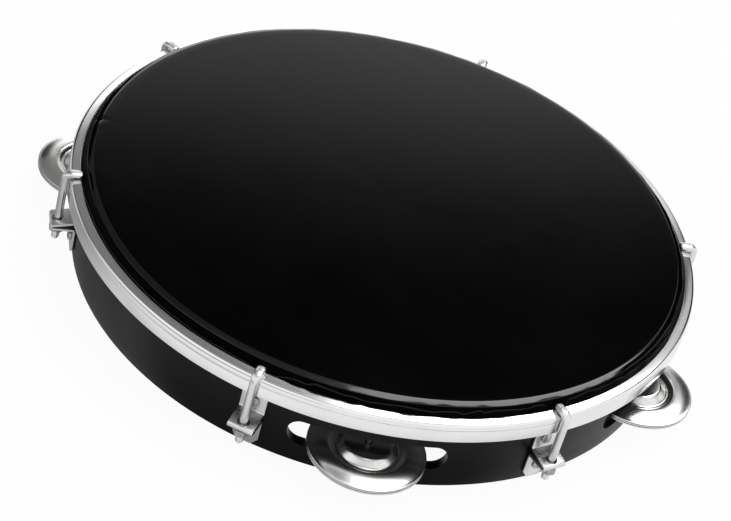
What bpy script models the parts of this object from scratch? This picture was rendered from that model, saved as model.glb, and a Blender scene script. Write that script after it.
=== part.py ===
# Pandeiro, nominal 12 inch: a moulded shell with five jingle slots, a fabric head that is tucked
# round a wire, a rolled steel tension hoop, and six hooks pulled down by nuts under folded brackets.
# Metres, +Z up. The origin is the centre of the playing face of the head, which faces +Z.

import math

import bmesh
import bpy
from mathutils import Matrix, Vector

# Gaps
TOUCH_GAP = 0.0003              # between pieces that touch each other
PIN_PLAY = 0.0006               # between a jingle's bore and its pin
FASTENER_PLAY = 0.0003          # between a screw or rivet and its hole
CUTTER_REACH = 0.0100           # how far a cutter stands past the shell's wall
MERGE_DISTANCE = 1e-7

# Shell
SHELL_OUTER_RADIUS = 0.1530
SHELL_WALL = 0.0060
SHELL_DEPTH = 0.0490
BEARING_ROUND = 0.0034          # rounding of the outer top edge, where the head bends over
SHELL_CHAMFER = 0.0008          # on the other three edges

# Jingle slots
SLOT_LENGTH = 0.0750
SLOT_HEIGHT = 0.0137
SLOT_FLOOR = 0.0103             # above the shell's bottom edge
JINGLE_ANGLES = (278.0, 340.9, 47.1, 113.2, 179.4)      # the widest gap is the hand grip

# Head
HEAD_THICKNESS = 0.0006
TUCK_RISE = 0.0022              # mean height of the trimmed edge above the hoop's lip
TUCK_WAVE = 0.0009              # how far the trimmed edge wanders up and down
TUCK_WAVES = 23                 # crests round the rim
TUCK_CUTBACK = 0.0005           # how far the trimmed edge lies under a claw
CUTBACK_HALF_ANGLE = 7.0        # degrees either side of a hook

# Flesh hoop
WIRE_RADIUS = 0.0016
WIRE_DROP = 0.0091              # from the playing face to the middle of the wire

# Tension hoop
HOOP_SHEET = 0.0014
HOOP_DEPTH = 0.0107
SHOULDER_ROUND = 0.0015
HOOP_GROOVE = 0.0004            # depth of the rolled groove under the bead
GROOVE_DROP = 0.0036            # from the hoop's top to the middle of the groove
GROOVE_HALF_HEIGHT = 0.0007

# Hooks
HOOK_ANGLES = (310.3, 13.5, 79.5, 148.0, 198.5, 257.2)
ROD_RADIUS = 0.0020
ROD_TAIL = 0.0054               # thread that shows below the nut
ROD_END_RADIUS = 0.0016         # where the thread's end is chamfered
CLAW_HALF_WIDTH = 0.0024
CLAW_HALF_THICKNESS = 0.0013
CLAW_OVERHANG = 0.0007          # past the hoop's lip
CLAW_BLUNT = 0.00065            # length of the claw's bevelled tip
CLAW_TIP_SHARE = 0.7            # of its width and thickness at the very tip
HOOK_BEND = 0.0033              # middle line of the bend over the hoop

# Brackets
BRACKET_SHEET = 0.0012
BRACKET_WIDTH = 0.0128
SHELF_HEIGHT = 0.0159           # underside of the shelf above the shell's bottom edge
SHELF_LIP = 0.0039              # from the rod's axis out to the folded front edge
HEM_RADIUS = 0.00095            # middle line of the fold at the front edge
SHELF_WEDGE = 0.0020            # how far the upper layer climbs on its way back to the shell
BRACKET_BEND = 0.0013           # middle line of the bends against the shell
UPPER_TAB_TOP = 0.0330          # above the shell's bottom edge
LOWER_TAB_BOTTOM = 0.0016       # above the shell's bottom edge
LOWER_CORNER_HEIGHT = 0.0040
UPPER_CORNER_HEIGHT = 0.0020
CORNER_SLOPE = 0.775            # width of a cut corner over its height
MITRE_LIMIT = 0.5               # least cosine allowed where the strip turns
ROD_HOLE_PLAY = 0.0010

# Fasteners
NUT_ACROSS_FLATS = 0.0070
NUT_HEIGHT = 0.0032
SCREW_HEIGHT = 0.0093           # above the shell's bottom edge
SCREW_SHANK_RADIUS = 0.0015
SCREW_HEAD_RADIUS = 0.0027
SCREW_HEAD_HEIGHT = 0.0017
SCREW_CROWN = 0.0008            # domed share of that height
SCREW_END = 0.0010              # shank that stands out of the nut inside the shell
INNER_NUT_ACROSS_FLATS = 0.0055
INNER_NUT_HEIGHT = 0.0024
RIVET_HEIGHT = 0.0262           # above the shell's bottom edge
RIVET_SHANK_RADIUS = 0.0015
RIVET_HEAD_RADIUS = 0.0029
RIVET_HEAD_HEIGHT = 0.0014
RIVET_CROWN = 0.0004
RIVET_TAIL_RADIUS = 0.0026
RIVET_TAIL_HEIGHT = 0.0011
END_SHARE = 0.7                 # of a radius, where an end or a head tapers

# Jingles
PIN_RADIUS = 0.00125
PIN_SEAT = 0.0080               # how deep the pin sits in the shell above the slot
PIN_RECESS = 0.0005             # from the shell's bottom edge up to the pin's end
CUP_RADIUS = 0.0284
CUP_SHEET = 0.0007
CUP_DEPTH = 0.0041
CUP_FLANGE = 0.0022             # flat rim of a cup
CUP_RING_RADIUS = 0.0222        # crest of the outer ring
CUP_RING_RISE = 0.0019          # crest of the outer ring above the rim's outer face
CUP_VALLEY_RADIUS = 0.0160
CUP_VALLEY_RISE = 0.0006
CUP_DOME_RADIUS = 0.0100        # where the middle dome turns flat
CUP_DOME_DROP = 0.00025         # from the hub's top down to that turn
CUP_HUB_RADIUS = 0.0070
DISC_INSET = 0.0002             # the middle disc's edge inside the cups' edges
DISC_SHEET = 0.0006

# Facets round each kind of piece
RING_FACETS = 60
JINGLE_FACETS = 18
ROUND_FACETS = 8

# Levels and radii that follow from the sizes above
half_turn = math.pi
full_turn = 2.0 * math.pi

shell_top = -HEAD_THICKNESS - TOUCH_GAP
shell_bottom = shell_top - SHELL_DEPTH
shell_inner_radius = SHELL_OUTER_RADIUS - SHELL_WALL
wall_middle_radius = SHELL_OUTER_RADIUS - SHELL_WALL / 2.0

collar_inner_radius = SHELL_OUTER_RADIUS + TOUCH_GAP
collar_outer_radius = collar_inner_radius + HEAD_THICKNESS
wire_ring_radius = collar_outer_radius + TOUCH_GAP + WIRE_RADIUS
wire_level = -WIRE_DROP
wire_reach = WIRE_RADIUS + TOUCH_GAP
loop_outer_radius = wire_ring_radius + wire_reach + HEAD_THICKNESS
loop_top = wire_level + wire_reach + HEAD_THICKNESS
loop_bottom = wire_level - wire_reach - HEAD_THICKNESS
tuck_inner_radius = collar_outer_radius + TOUCH_GAP
tuck_outer_radius = tuck_inner_radius + HEAD_THICKNESS

hoop_lip_radius = tuck_outer_radius + TOUCH_GAP
hoop_inner_radius = loop_outer_radius + TOUCH_GAP
hoop_outer_radius = hoop_inner_radius + HOOP_SHEET
flange_underside = loop_top + TOUCH_GAP
hoop_top = flange_underside + HOOP_SHEET
hoop_bottom = hoop_top - HOOP_DEPTH

rod_axis_radius = hoop_outer_radius + TOUCH_GAP + ROD_RADIUS
claw_underside = hoop_top + TOUCH_GAP
claw_level = claw_underside + CLAW_HALF_THICKNESS
claw_tip_radius = hoop_lip_radius - CLAW_OVERHANG

shelf_underside = shell_bottom + SHELF_HEIGHT
nut_top = shelf_underside - TOUCH_GAP
nut_bottom = nut_top - NUT_HEIGHT
rod_end = nut_bottom - ROD_TAIL
tab_back = SHELL_OUTER_RADIUS + TOUCH_GAP
tab_front = tab_back + BRACKET_SHEET
head_seat = tab_front + TOUCH_GAP
inner_seat = shell_inner_radius * math.cos(half_turn / RING_FACETS) - TOUCH_GAP

slot_floor = shell_bottom + SLOT_FLOOR
slot_roof = slot_floor + SLOT_HEIGHT
pin_top = slot_roof + PIN_SEAT
pin_bottom = shell_bottom + PIN_RECESS
lower_rim_level = slot_floor + TOUCH_GAP + CUP_DEPTH
disc_level = lower_rim_level + TOUCH_GAP
upper_rim_level = disc_level + DISC_SHEET + TOUCH_GAP
cup_bore_radius = PIN_RADIUS + PIN_PLAY
disc_radius = CUP_RADIUS - DISC_INSET


def clear_scene():
    for old in list(bpy.data.objects):
        bpy.data.objects.remove(old, do_unlink=True)


def material(name, colour, roughness, metallic):
    finish = bpy.data.materials.new(name)
    finish.use_nodes = True
    shader = finish.node_tree.nodes["Principled BSDF"]
    shader.inputs["Base Color"].default_value = (*colour, 1.0)
    shader.inputs["Roughness"].default_value = roughness
    shader.inputs["Metallic"].default_value = metallic
    return finish


def mesh_from(bm, name, finish, smooth_angle=35.0):
    bmesh.ops.recalc_face_normals(bm, faces=bm.faces)
    mesh = bpy.data.meshes.new(name)
    bm.to_mesh(mesh)
    bm.free()
    if finish:
        mesh.materials.append(finish)
    mesh.shade_smooth()
    mesh.set_sharp_from_angle(angle=math.radians(smooth_angle))
    return mesh


def add_object(name, mesh, location=(0.0, 0.0, 0.0), turn=0.0):
    piece = bpy.data.objects.new(name, mesh)
    piece.location = location
    piece.rotation_euler = (0.0, 0.0, turn)
    bpy.context.scene.collection.objects.link(piece)
    return piece


def add_cutter(name, bm):
    cutter = add_object(name, mesh_from(bm, name, None))
    cutter.hide_render = True
    cutter.display_type = "WIRE"
    return cutter


def cut(piece, cutter):
    step = piece.modifiers.new(cutter.name, "BOOLEAN")
    step.operation = "DIFFERENCE"
    step.solver = "EXACT"
    step.object = cutter


# A mesh with its Booleans worked out, so that every copy of a repeated piece can share it
def settle(piece, cutters):
    graph = bpy.context.evaluated_depsgraph_get()
    mesh = bpy.data.meshes.new_from_object(piece.evaluated_get(graph))
    mesh.name = piece.name
    for spent in [piece] + cutters:
        bpy.data.objects.remove(spent, do_unlink=True)
    return mesh


# An outline in the plane of radius and height, spun once round the Z axis. It is joined up into a
# ring's section unless it starts and ends on the axis.
def spun(outline, facets, on_axis=False):
    bm = bmesh.new()
    corners = [bm.verts.new((radius, 0.0, height)) for radius, height in outline]
    first = 1 if on_axis else 0
    edges = [bm.edges.new((corners[i - 1], corners[i])) for i in range(first, len(corners))]
    bmesh.ops.spin(bm, geom=corners + edges, cent=(0, 0, 0), axis=(0, 0, 1),
                   angle=full_turn, steps=facets, use_merge=True)
    bmesh.ops.remove_doubles(bm, verts=bm.verts, dist=MERGE_DISTANCE)
    return bm


# A flat outline given as points, extruded along a vector into a prism
def add_prism(bm, points, along):
    face = bm.faces.new([bm.verts.new(point) for point in points])
    grown = bmesh.ops.extrude_face_region(bm, geom=[face])
    moved = [item for item in grown["geom"] if isinstance(item, bmesh.types.BMVert)]
    bmesh.ops.translate(bm, vec=along, verts=moved)


def circle(radius, facets, start=0.0):
    return [(radius * math.cos(start + full_turn * k / facets),
             radius * math.sin(start + full_turn * k / facets)) for k in range(facets)]


def arc(centre, radius, start, end, steps):
    return [(centre[0] + radius * math.cos(start + (end - start) * k / steps),
             centre[1] + radius * math.sin(start + (end - start) * k / steps))
            for k in range(steps + 1)]


# A round bar whose axis lies along the station's outward direction, +X
def add_radial_bar(bm, radius, start, end, level, turn):
    points = [Matrix.Rotation(turn, 3, "Z") @ Vector((start, across, level + up))
              for across, up in circle(radius, ROUND_FACETS)]
    along = Matrix.Rotation(turn, 3, "Z") @ Vector((end - start, 0.0, 0.0))
    add_prism(bm, points, along)


def jingle_turns():
    return [math.radians(angle) for angle in JINGLE_ANGLES]


def hook_turns():
    return [math.radians(angle) for angle in HOOK_ANGLES]


def on_circle(radius, turn, level=0.0):
    return (radius * math.cos(turn), radius * math.sin(turn), level)


# Shell: a turned ring with the jingle slots, the pins' blind bores and the brackets' bores
def build_shell(finish):
    outer = SHELL_OUTER_RADIUS
    inner = shell_inner_radius
    outline = [(outer, shell_bottom + SHELL_CHAMFER)]
    outline += arc((outer - BEARING_ROUND, shell_top - BEARING_ROUND), BEARING_ROUND,
                   0.0, half_turn / 2.0, 3)
    outline += [(inner + SHELL_CHAMFER, shell_top), (inner, shell_top - SHELL_CHAMFER),
                (inner, shell_bottom + SHELL_CHAMFER), (inner + SHELL_CHAMFER, shell_bottom),
                (outer - SHELL_CHAMFER, shell_bottom)]
    shell = add_object("shell", mesh_from(spun(outline, RING_FACETS), "shell", finish))

    slots = bmesh.new()
    end_radius = SLOT_HEIGHT / 2.0
    straight = SLOT_LENGTH / 2.0 - end_radius
    middle = (slot_floor + slot_roof) / 2.0
    stadium = arc((straight, middle), end_radius, -half_turn / 2.0, half_turn / 2.0, 6)
    stadium += arc((-straight, middle), end_radius, half_turn / 2.0, 1.5 * half_turn, 6)
    start = shell_inner_radius - CUTTER_REACH
    end = SHELL_OUTER_RADIUS + CUTTER_REACH
    for turn in jingle_turns():
        spin = Matrix.Rotation(turn, 3, "Z")
        points = [spin @ Vector((start, across, level)) for across, level in stadium]
        add_prism(slots, points, spin @ Vector((end - start, 0.0, 0.0)))
    cut(shell, add_cutter("slot_cutter", slots))

    bores = bmesh.new()
    for turn in jingle_turns():
        axis = Vector(on_circle(wall_middle_radius, turn, shell_bottom - SHELL_CHAMFER))
        bore = circle(PIN_RADIUS + FASTENER_PLAY, ROUND_FACETS, turn)
        points = [axis + Vector((x, y, 0.0)) for x, y in bore]
        depth = pin_top + TOUCH_GAP - axis.z
        add_prism(bores, points, Vector((0.0, 0.0, depth)))
    cut(shell, add_cutter("pin_bore_cutter", bores))

    holes = bmesh.new()
    for turn in hook_turns():
        for level, radius in ((SCREW_HEIGHT, SCREW_SHANK_RADIUS), (RIVET_HEIGHT, RIVET_SHANK_RADIUS)):
            add_radial_bar(holes, radius + FASTENER_PLAY, start, end, shell_bottom + level, turn)
    cut(shell, add_cutter("bracket_bore_cutter", holes))
    return shell


# Height of the head's trimmed edge: it wanders, and lies low under each hook's claw
def trimmed_edge(turn):
    level = hoop_top + TUCK_RISE + TUCK_WAVE * math.sin(TUCK_WAVES * turn)
    low = claw_underside - TUCK_CUTBACK
    for hook in hook_turns():
        away = abs(math.degrees(math.remainder(turn - hook, full_turn)))
        blend = min(max((away - CUTBACK_HALF_ANGLE) / CUTBACK_HALF_ANGLE, 0.0), 1.0)
        level = min(level, low + (level - low) * blend)
    return level


# Head: a disc that bends over the bearing edge, runs down the shell, goes under and round the
# flesh hoop and stands up again inside the tension hoop as the trimmed edge
def build_head(finish):
    bend = BEARING_ROUND + TOUCH_GAP
    bend_middle = (SHELL_OUTER_RADIUS - BEARING_ROUND, shell_top - BEARING_ROUND)
    inside_loop = (wire_level - wire_reach, wire_level + wire_reach)
    wrap_inner = wire_ring_radius + wire_reach
    outline = [(0.0, 0.0)]
    outline += reversed(arc(bend_middle, bend + HEAD_THICKNESS, 0.0, half_turn / 2.0, 3))
    outline += [(collar_outer_radius, inside_loop[0]), (wrap_inner, inside_loop[0]),
                (wrap_inner, inside_loop[1]), (tuck_inner_radius, inside_loop[1])]
    outline += [(tuck_inner_radius, hoop_top), (tuck_outer_radius, hoop_top)]
    outline += [(tuck_outer_radius, loop_top), (loop_outer_radius, loop_top),
                (loop_outer_radius, loop_bottom), (collar_inner_radius, loop_bottom)]
    outline += arc(bend_middle, bend, 0.0, half_turn / 2.0, 3)
    outline += [(0.0, -HEAD_THICKNESS)]
    bm = spun(outline, RING_FACETS, on_axis=True)
    for vertex in bm.verts:
        radius = math.hypot(vertex.co.x, vertex.co.y)
        if radius > collar_outer_radius and abs(vertex.co.z - hoop_top) < MERGE_DISTANCE:
            vertex.co.z = trimmed_edge(math.atan2(vertex.co.y, vertex.co.x))
    return add_object("head", mesh_from(bm, "head", finish))


def build_flesh_hoop(finish):
    outline = [(wire_ring_radius + x, wire_level + z) for x, z in circle(WIRE_RADIUS, 6)]
    return add_object("flesh_hoop", mesh_from(spun(outline, RING_FACETS), "flesh_hoop", finish, 70.0))


# Tension hoop: a flange that rests on the head's loop, a round shoulder, a rolled bead and groove,
# and a plain band below
def build_tension_hoop(finish):
    outer = hoop_outer_radius
    groove = hoop_top - GROOVE_DROP
    outline = [(outer, hoop_bottom), (outer, groove - GROOVE_HALF_HEIGHT),
               (outer - HOOP_GROOVE, groove), (outer, groove + GROOVE_HALF_HEIGHT)]
    outline += arc((outer - SHOULDER_ROUND, hoop_top - SHOULDER_ROUND), SHOULDER_ROUND,
                   0.0, half_turn / 2.0, 3)
    outline += [(hoop_lip_radius, hoop_top), (hoop_lip_radius, flange_underside),
                (hoop_inner_radius, flange_underside), (hoop_inner_radius, hoop_bottom)]
    return add_object("tension_hoop", mesh_from(spun(outline, RING_FACETS), "tension_hoop", finish))


# Hook: a rod that stands outside the hoop, bends over its shoulder and ends in a flattened claw.
# The outline of each section is an oval: half a width across, half a thickness in the bend's plane.
def hook_mesh(finish):
    bend_middle = Vector((rod_axis_radius - HOOK_BEND, 0.0, claw_level - HOOK_BEND))
    chamfer = ROD_RADIUS - ROD_END_RADIUS
    sections = [(Vector((rod_axis_radius, 0.0, rod_end)), 0.0, ROD_END_RADIUS, ROD_END_RADIUS),
                (Vector((rod_axis_radius, 0.0, rod_end + chamfer)), 0.0, ROD_RADIUS, ROD_RADIUS)]
    steps = 4
    for k in range(steps + 1):
        share = k / steps
        angle = share * half_turn / 2.0
        centre = bend_middle + Vector((math.cos(angle), 0.0, math.sin(angle))) * HOOK_BEND
        width = ROD_RADIUS + (CLAW_HALF_WIDTH - ROD_RADIUS) * share
        thickness = ROD_RADIUS + (CLAW_HALF_THICKNESS - ROD_RADIUS) * share
        sections.append((centre, angle, width, thickness))
    flat_end = Vector((claw_tip_radius + CLAW_BLUNT, 0.0, claw_level))
    tip = Vector((claw_tip_radius, 0.0, claw_level))
    sections.append((flat_end, half_turn / 2.0, CLAW_HALF_WIDTH, CLAW_HALF_THICKNESS))
    sections.append((tip, half_turn / 2.0, CLAW_HALF_WIDTH * CLAW_TIP_SHARE,
                     CLAW_HALF_THICKNESS * CLAW_TIP_SHARE))

    def ring(section):
        centre, angle, width, thickness = section
        outward = Vector((math.cos(angle), 0.0, math.sin(angle)))
        return [centre + outward * (thickness * c) + Vector((0.0, width * s, 0.0))
                for c, s in circle(1.0, ROUND_FACETS)]

    bm = bmesh.new()
    loops = []
    for section in sections:
        corners = [bm.verts.new(point) for point in ring(section)]
        loops.append([bm.edges.new((corners[k - 1], corners[k])) for k in range(ROUND_FACETS)])
    for near, far in zip(loops, loops[1:]):
        bmesh.ops.bridge_loops(bm, edges=near + far)
    bmesh.ops.contextual_create(bm, geom=loops[0])
    bmesh.ops.contextual_create(bm, geom=loops[-1])
    return mesh_from(bm, "hook", finish)


# Middle line of a bracket's folded strip, from the top of the upper tab to the foot of the lower
def bracket_path():
    sheet = BRACKET_SHEET
    tab = tab_back + sheet / 2.0
    lip = rod_axis_radius + SHELF_LIP - sheet / 2.0
    lower = shelf_underside + sheet / 2.0
    hem = (lip - HEM_RADIUS, lower + HEM_RADIUS)
    upper_front = lower + 2.0 * HEM_RADIUS
    run = hem[0] - tab - BRACKET_BEND
    slope = math.atan2(SHELF_WEDGE, run)
    upper_back = upper_front + SHELF_WEDGE
    path = [(tab, shell_bottom + UPPER_TAB_TOP)]
    path += arc((tab + BRACKET_BEND, upper_back + BRACKET_BEND), BRACKET_BEND,
                half_turn, 1.5 * half_turn - slope, 3)
    path += arc(hem, HEM_RADIUS, half_turn / 2.0 - slope, -half_turn / 2.0, 5)
    path += arc((tab + BRACKET_BEND, lower - BRACKET_BEND), BRACKET_BEND,
                half_turn / 2.0, half_turn, 3)
    path.append((tab, shell_bottom + LOWER_TAB_BOTTOM))
    return path


# The two long sides of a strip of sheet whose middle line is given
def strip_outline(path, sheet):
    left, right = [], []
    for k, point in enumerate(path):
        here = Vector(point)
        before = here - Vector(path[k - 1]) if k > 0 else None
        after = Vector(path[k + 1]) - here if k < len(path) - 1 else None
        ways = [way.normalized() for way in (before, after) if way is not None]
        along = sum(ways[1:], ways[0]).normalized()
        across = Vector((-along.y, along.x))
        reach = sheet / 2.0 / max(across.dot(Vector((-ways[0].y, ways[0].x))), MITRE_LIMIT)
        left.append(here + across * reach)
        right.append(here - across * reach)
    return left + right[::-1]


# Bracket: one folded strip. The upper tab is riveted to the shell, the shelf carries the rod, and
# the lower tab is screwed down. Its outline from the front has cut corners at both ends.
def bracket_mesh(finish):
    half_width = BRACKET_WIDTH / 2.0
    bm = bmesh.new()
    outline = strip_outline(bracket_path(), BRACKET_SHEET)
    points = [Vector((p.x, -half_width, p.y)) for p in outline]
    add_prism(bm, points, Vector((0.0, BRACKET_WIDTH, 0.0)))
    bracket = add_object("bracket_blank", mesh_from(bm, "bracket", finish))

    margin = BRACKET_SHEET
    far = rod_axis_radius + SHELF_LIP + margin
    near = tab_back - margin
    top = shell_bottom + UPPER_TAB_TOP + margin
    foot = shell_bottom + LOWER_TAB_BOTTOM - margin
    outside = half_width + margin * CORNER_SLOPE
    corners = bmesh.new()
    for side in (-1.0, 1.0):
        for end, inward, corner in ((foot, 1.0, LOWER_CORNER_HEIGHT), (top, -1.0, UPPER_CORNER_HEIGHT)):
            height = corner + 2.0 * margin
            triangle = [(side * outside, end), (side * (outside - height * CORNER_SLOPE), end),
                        (side * outside, end + inward * height)]
            add_prism(corners, [Vector((near, y, z)) for y, z in triangle],
                      Vector((far - near, 0.0, 0.0)))
    corner_cutter = add_cutter("bracket_corner_cutter", corners)
    cut(bracket, corner_cutter)

    holes = bmesh.new()
    rod_hole = [Vector((rod_axis_radius + x, y, foot)) for x, y in
                circle(ROD_RADIUS + ROD_HOLE_PLAY, ROUND_FACETS)]
    add_prism(holes, rod_hole, Vector((0.0, 0.0, top - foot)))
    for level, radius in ((SCREW_HEIGHT, SCREW_SHANK_RADIUS), (RIVET_HEIGHT, RIVET_SHANK_RADIUS)):
        add_radial_bar(holes, radius + FASTENER_PLAY, near, tab_front + margin,
                       shell_bottom + level, 0.0)
    hole_cutter = add_cutter("bracket_hole_cutter", holes)
    cut(bracket, hole_cutter)
    return settle(bracket, [corner_cutter, hole_cutter])


# A hexagon nut on the Z axis, from level zero up, with a plain bore
def nut_mesh(name, across_flats, height, bore_radius, finish):
    corner_radius = across_flats / 2.0 / math.cos(half_turn / 6.0)
    body = bmesh.new()
    hexagon = [Vector((x, y, 0.0)) for x, y in circle(corner_radius, 6)]
    add_prism(body, hexagon, Vector((0.0, 0.0, height)))
    nut = add_object(name + "_blank", mesh_from(body, name, finish))
    bore = bmesh.new()
    add_prism(bore, [Vector((x, y, -height)) for x, y in circle(bore_radius, ROUND_FACETS)],
              Vector((0.0, 0.0, 3.0 * height)))
    cutter = add_cutter(name + "_bore", bore)
    cut(nut, cutter)
    return settle(nut, [cutter])


# A solid turned on the Z axis and then laid along the station's outward direction, +X
def laid_outward(outline, name, finish):
    bm = spun(outline, ROUND_FACETS, on_axis=True)
    quarter = Matrix.Rotation(half_turn / 2.0, 3, "Y")
    bmesh.ops.rotate(bm, verts=bm.verts, cent=(0, 0, 0), matrix=quarter)
    return mesh_from(bm, name, finish)


def screw_mesh(finish):
    inner_end = inner_seat - INNER_NUT_HEIGHT - SCREW_END
    dome = head_seat + SCREW_HEAD_HEIGHT
    chamfer = SCREW_SHANK_RADIUS * (1.0 - END_SHARE)
    outline = [(0.0, inner_end), (SCREW_SHANK_RADIUS * END_SHARE, inner_end),
               (SCREW_SHANK_RADIUS, inner_end + chamfer), (SCREW_SHANK_RADIUS, head_seat),
               (SCREW_HEAD_RADIUS, head_seat), (SCREW_HEAD_RADIUS, dome - SCREW_CROWN),
               (SCREW_HEAD_RADIUS * END_SHARE, dome), (0.0, dome)]
    return laid_outward(outline, "bracket_screw", finish)


def rivet_mesh(finish):
    tail = inner_seat - RIVET_TAIL_HEIGHT
    dome = head_seat + RIVET_HEAD_HEIGHT
    outline = [(0.0, tail), (RIVET_TAIL_RADIUS * END_SHARE, tail), (RIVET_TAIL_RADIUS, inner_seat),
               (RIVET_SHANK_RADIUS, inner_seat), (RIVET_SHANK_RADIUS, head_seat),
               (RIVET_HEAD_RADIUS, head_seat), (RIVET_HEAD_RADIUS * END_SHARE, dome - RIVET_CROWN),
               (0.0, dome)]
    return laid_outward(outline, "bracket_rivet", finish)


def build_hook_stations(steel, dull_steel):
    hook = hook_mesh(steel)
    bracket = bracket_mesh(steel)
    bore = ROD_RADIUS + FASTENER_PLAY
    tension_nut = nut_mesh("tension_nut", NUT_ACROSS_FLATS, NUT_HEIGHT, bore, steel)
    screw = screw_mesh(steel)
    rivet = rivet_mesh(dull_steel)
    inner_nut = nut_mesh("screw_nut", INNER_NUT_ACROSS_FLATS, INNER_NUT_HEIGHT,
                         SCREW_SHANK_RADIUS + FASTENER_PLAY, dull_steel)
    inner_nut.transform(Matrix.Rotation(half_turn / 2.0, 4, "Y"))
    screw_level = shell_bottom + SCREW_HEIGHT
    rivet_level = shell_bottom + RIVET_HEIGHT
    nut_seat = inner_seat - INNER_NUT_HEIGHT
    for number, turn in enumerate(hook_turns(), start=1):
        add_object(f"hook_{number}", hook, turn=turn)
        add_object(f"bracket_{number}", bracket, turn=turn)
        add_object(f"tension_nut_{number}", tension_nut, on_circle(rod_axis_radius, turn, nut_bottom), turn)
        add_object(f"bracket_screw_{number}", screw, (0.0, 0.0, screw_level), turn)
        add_object(f"bracket_rivet_{number}", rivet, (0.0, 0.0, rivet_level), turn)
        add_object(f"screw_nut_{number}", inner_nut, on_circle(nut_seat, turn, screw_level), turn)


# A jingle cup with its mouth down: a flat rim, a round ring, a valley and a dome with a bore.
# Its rim's underside lies at level zero.
def cup_mesh(finish):
    sheet = CUP_SHEET
    flange_end = CUP_RADIUS - CUP_FLANGE
    top = [(CUP_RADIUS, sheet), (flange_end, sheet), (CUP_RING_RADIUS, sheet + CUP_RING_RISE),
           (CUP_VALLEY_RADIUS, sheet + CUP_VALLEY_RISE), (CUP_DOME_RADIUS, CUP_DEPTH - CUP_DOME_DROP),
           (CUP_HUB_RADIUS, CUP_DEPTH), (cup_bore_radius, CUP_DEPTH)]
    outline = top + [(radius, level - sheet) for radius, level in reversed(top)]
    return mesh_from(spun(outline, JINGLE_FACETS), "jingle_cup", finish)


def disc_mesh(finish):
    outline = [(disc_radius, 0.0), (disc_radius, DISC_SHEET), (cup_bore_radius, DISC_SHEET),
               (cup_bore_radius, 0.0)]
    return mesh_from(spun(outline, JINGLE_FACETS), "jingle_disc", finish)


def pin_mesh(finish):
    bm = bmesh.new()
    points = [Vector((x, y, pin_bottom)) for x, y in circle(PIN_RADIUS, ROUND_FACETS)]
    add_prism(bm, points, Vector((0.0, 0.0, pin_top - pin_bottom)))
    return mesh_from(bm, "jingle_pin", finish)


def build_jingles(bright, dull_steel):
    upper = cup_mesh(bright)
    lower = upper.copy()
    lower.name = "jingle_cup_mouth_up"
    lower.transform(Matrix.Rotation(half_turn, 4, "X"))
    disc = disc_mesh(bright)
    pin = pin_mesh(dull_steel)
    for number, turn in enumerate(jingle_turns(), start=1):
        def at(level):
            return on_circle(wall_middle_radius, turn, level)
        add_object(f"jingle_pin_{number}", pin, at(0.0), turn)
        add_object(f"jingle_lower_{number}", lower, at(lower_rim_level), turn)
        add_object(f"jingle_disc_{number}", disc, at(disc_level), turn)
        add_object(f"jingle_upper_{number}", upper, at(upper_rim_level), turn)


def build_pandeiro():
    clear_scene()
    black_plastic = material("shell black plastic", (0.012, 0.012, 0.013), 0.32, 0.0)
    black_fabric = material("head black coated fabric", (0.006, 0.006, 0.007), 0.28, 0.0)
    wire = material("flesh hoop wire", (0.45, 0.45, 0.46), 0.40, 1.0)
    bright_steel = material("tension hoop chrome", (0.82, 0.82, 0.83), 0.16, 1.0)
    plated_steel = material("hook plated steel", (0.74, 0.74, 0.75), 0.24, 1.0)
    dull_steel = material("fastener steel", (0.42, 0.42, 0.43), 0.38, 1.0)
    nickel = material("jingle nickel", (0.72, 0.71, 0.70), 0.18, 1.0)
    build_shell(black_plastic)
    build_head(black_fabric)
    build_flesh_hoop(wire)
    build_tension_hoop(bright_steel)
    build_hook_stations(plated_steel, dull_steel)
    build_jingles(nickel, dull_steel)
    travel = slot_roof - (upper_rim_level + CUP_DEPTH)
    print(f"shell bottom {shell_bottom * 1000:.2f} mm, hoop {hoop_outer_radius * 1000:.2f} mm radius, "
          f"jingle headroom {travel * 1000:.2f} mm")


build_pandeiro()
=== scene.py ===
# Pandeiro, nominal 12 inch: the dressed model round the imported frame, +Z up, from the middle of the playing face.
# A piece's sizes are in millimetres, or in metres where mm follows them. The stage's are in metres.

import math

import bmesh
import bpy
import numpy as np
from mathutils import Matrix, Vector


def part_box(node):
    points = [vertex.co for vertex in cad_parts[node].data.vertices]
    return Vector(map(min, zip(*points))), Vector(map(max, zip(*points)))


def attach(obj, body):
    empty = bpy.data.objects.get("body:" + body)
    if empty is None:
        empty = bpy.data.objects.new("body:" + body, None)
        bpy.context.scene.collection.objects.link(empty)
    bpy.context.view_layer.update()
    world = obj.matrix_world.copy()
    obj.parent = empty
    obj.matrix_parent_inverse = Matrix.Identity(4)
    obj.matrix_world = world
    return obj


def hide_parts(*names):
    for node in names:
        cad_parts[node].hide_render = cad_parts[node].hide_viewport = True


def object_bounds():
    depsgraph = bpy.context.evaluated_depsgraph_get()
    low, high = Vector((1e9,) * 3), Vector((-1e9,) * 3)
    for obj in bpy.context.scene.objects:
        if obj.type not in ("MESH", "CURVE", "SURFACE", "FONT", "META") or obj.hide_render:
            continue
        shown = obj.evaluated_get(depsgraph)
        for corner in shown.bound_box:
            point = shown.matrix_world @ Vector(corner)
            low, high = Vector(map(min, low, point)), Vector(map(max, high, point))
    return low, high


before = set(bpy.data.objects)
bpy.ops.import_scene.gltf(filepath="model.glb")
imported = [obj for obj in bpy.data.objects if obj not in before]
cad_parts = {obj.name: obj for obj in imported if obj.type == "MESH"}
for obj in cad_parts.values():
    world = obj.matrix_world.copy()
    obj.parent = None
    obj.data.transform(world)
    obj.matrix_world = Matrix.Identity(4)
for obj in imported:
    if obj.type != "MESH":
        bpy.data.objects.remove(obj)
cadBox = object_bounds()
print("packed frame loaded,", len(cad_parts), "nodes")

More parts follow.
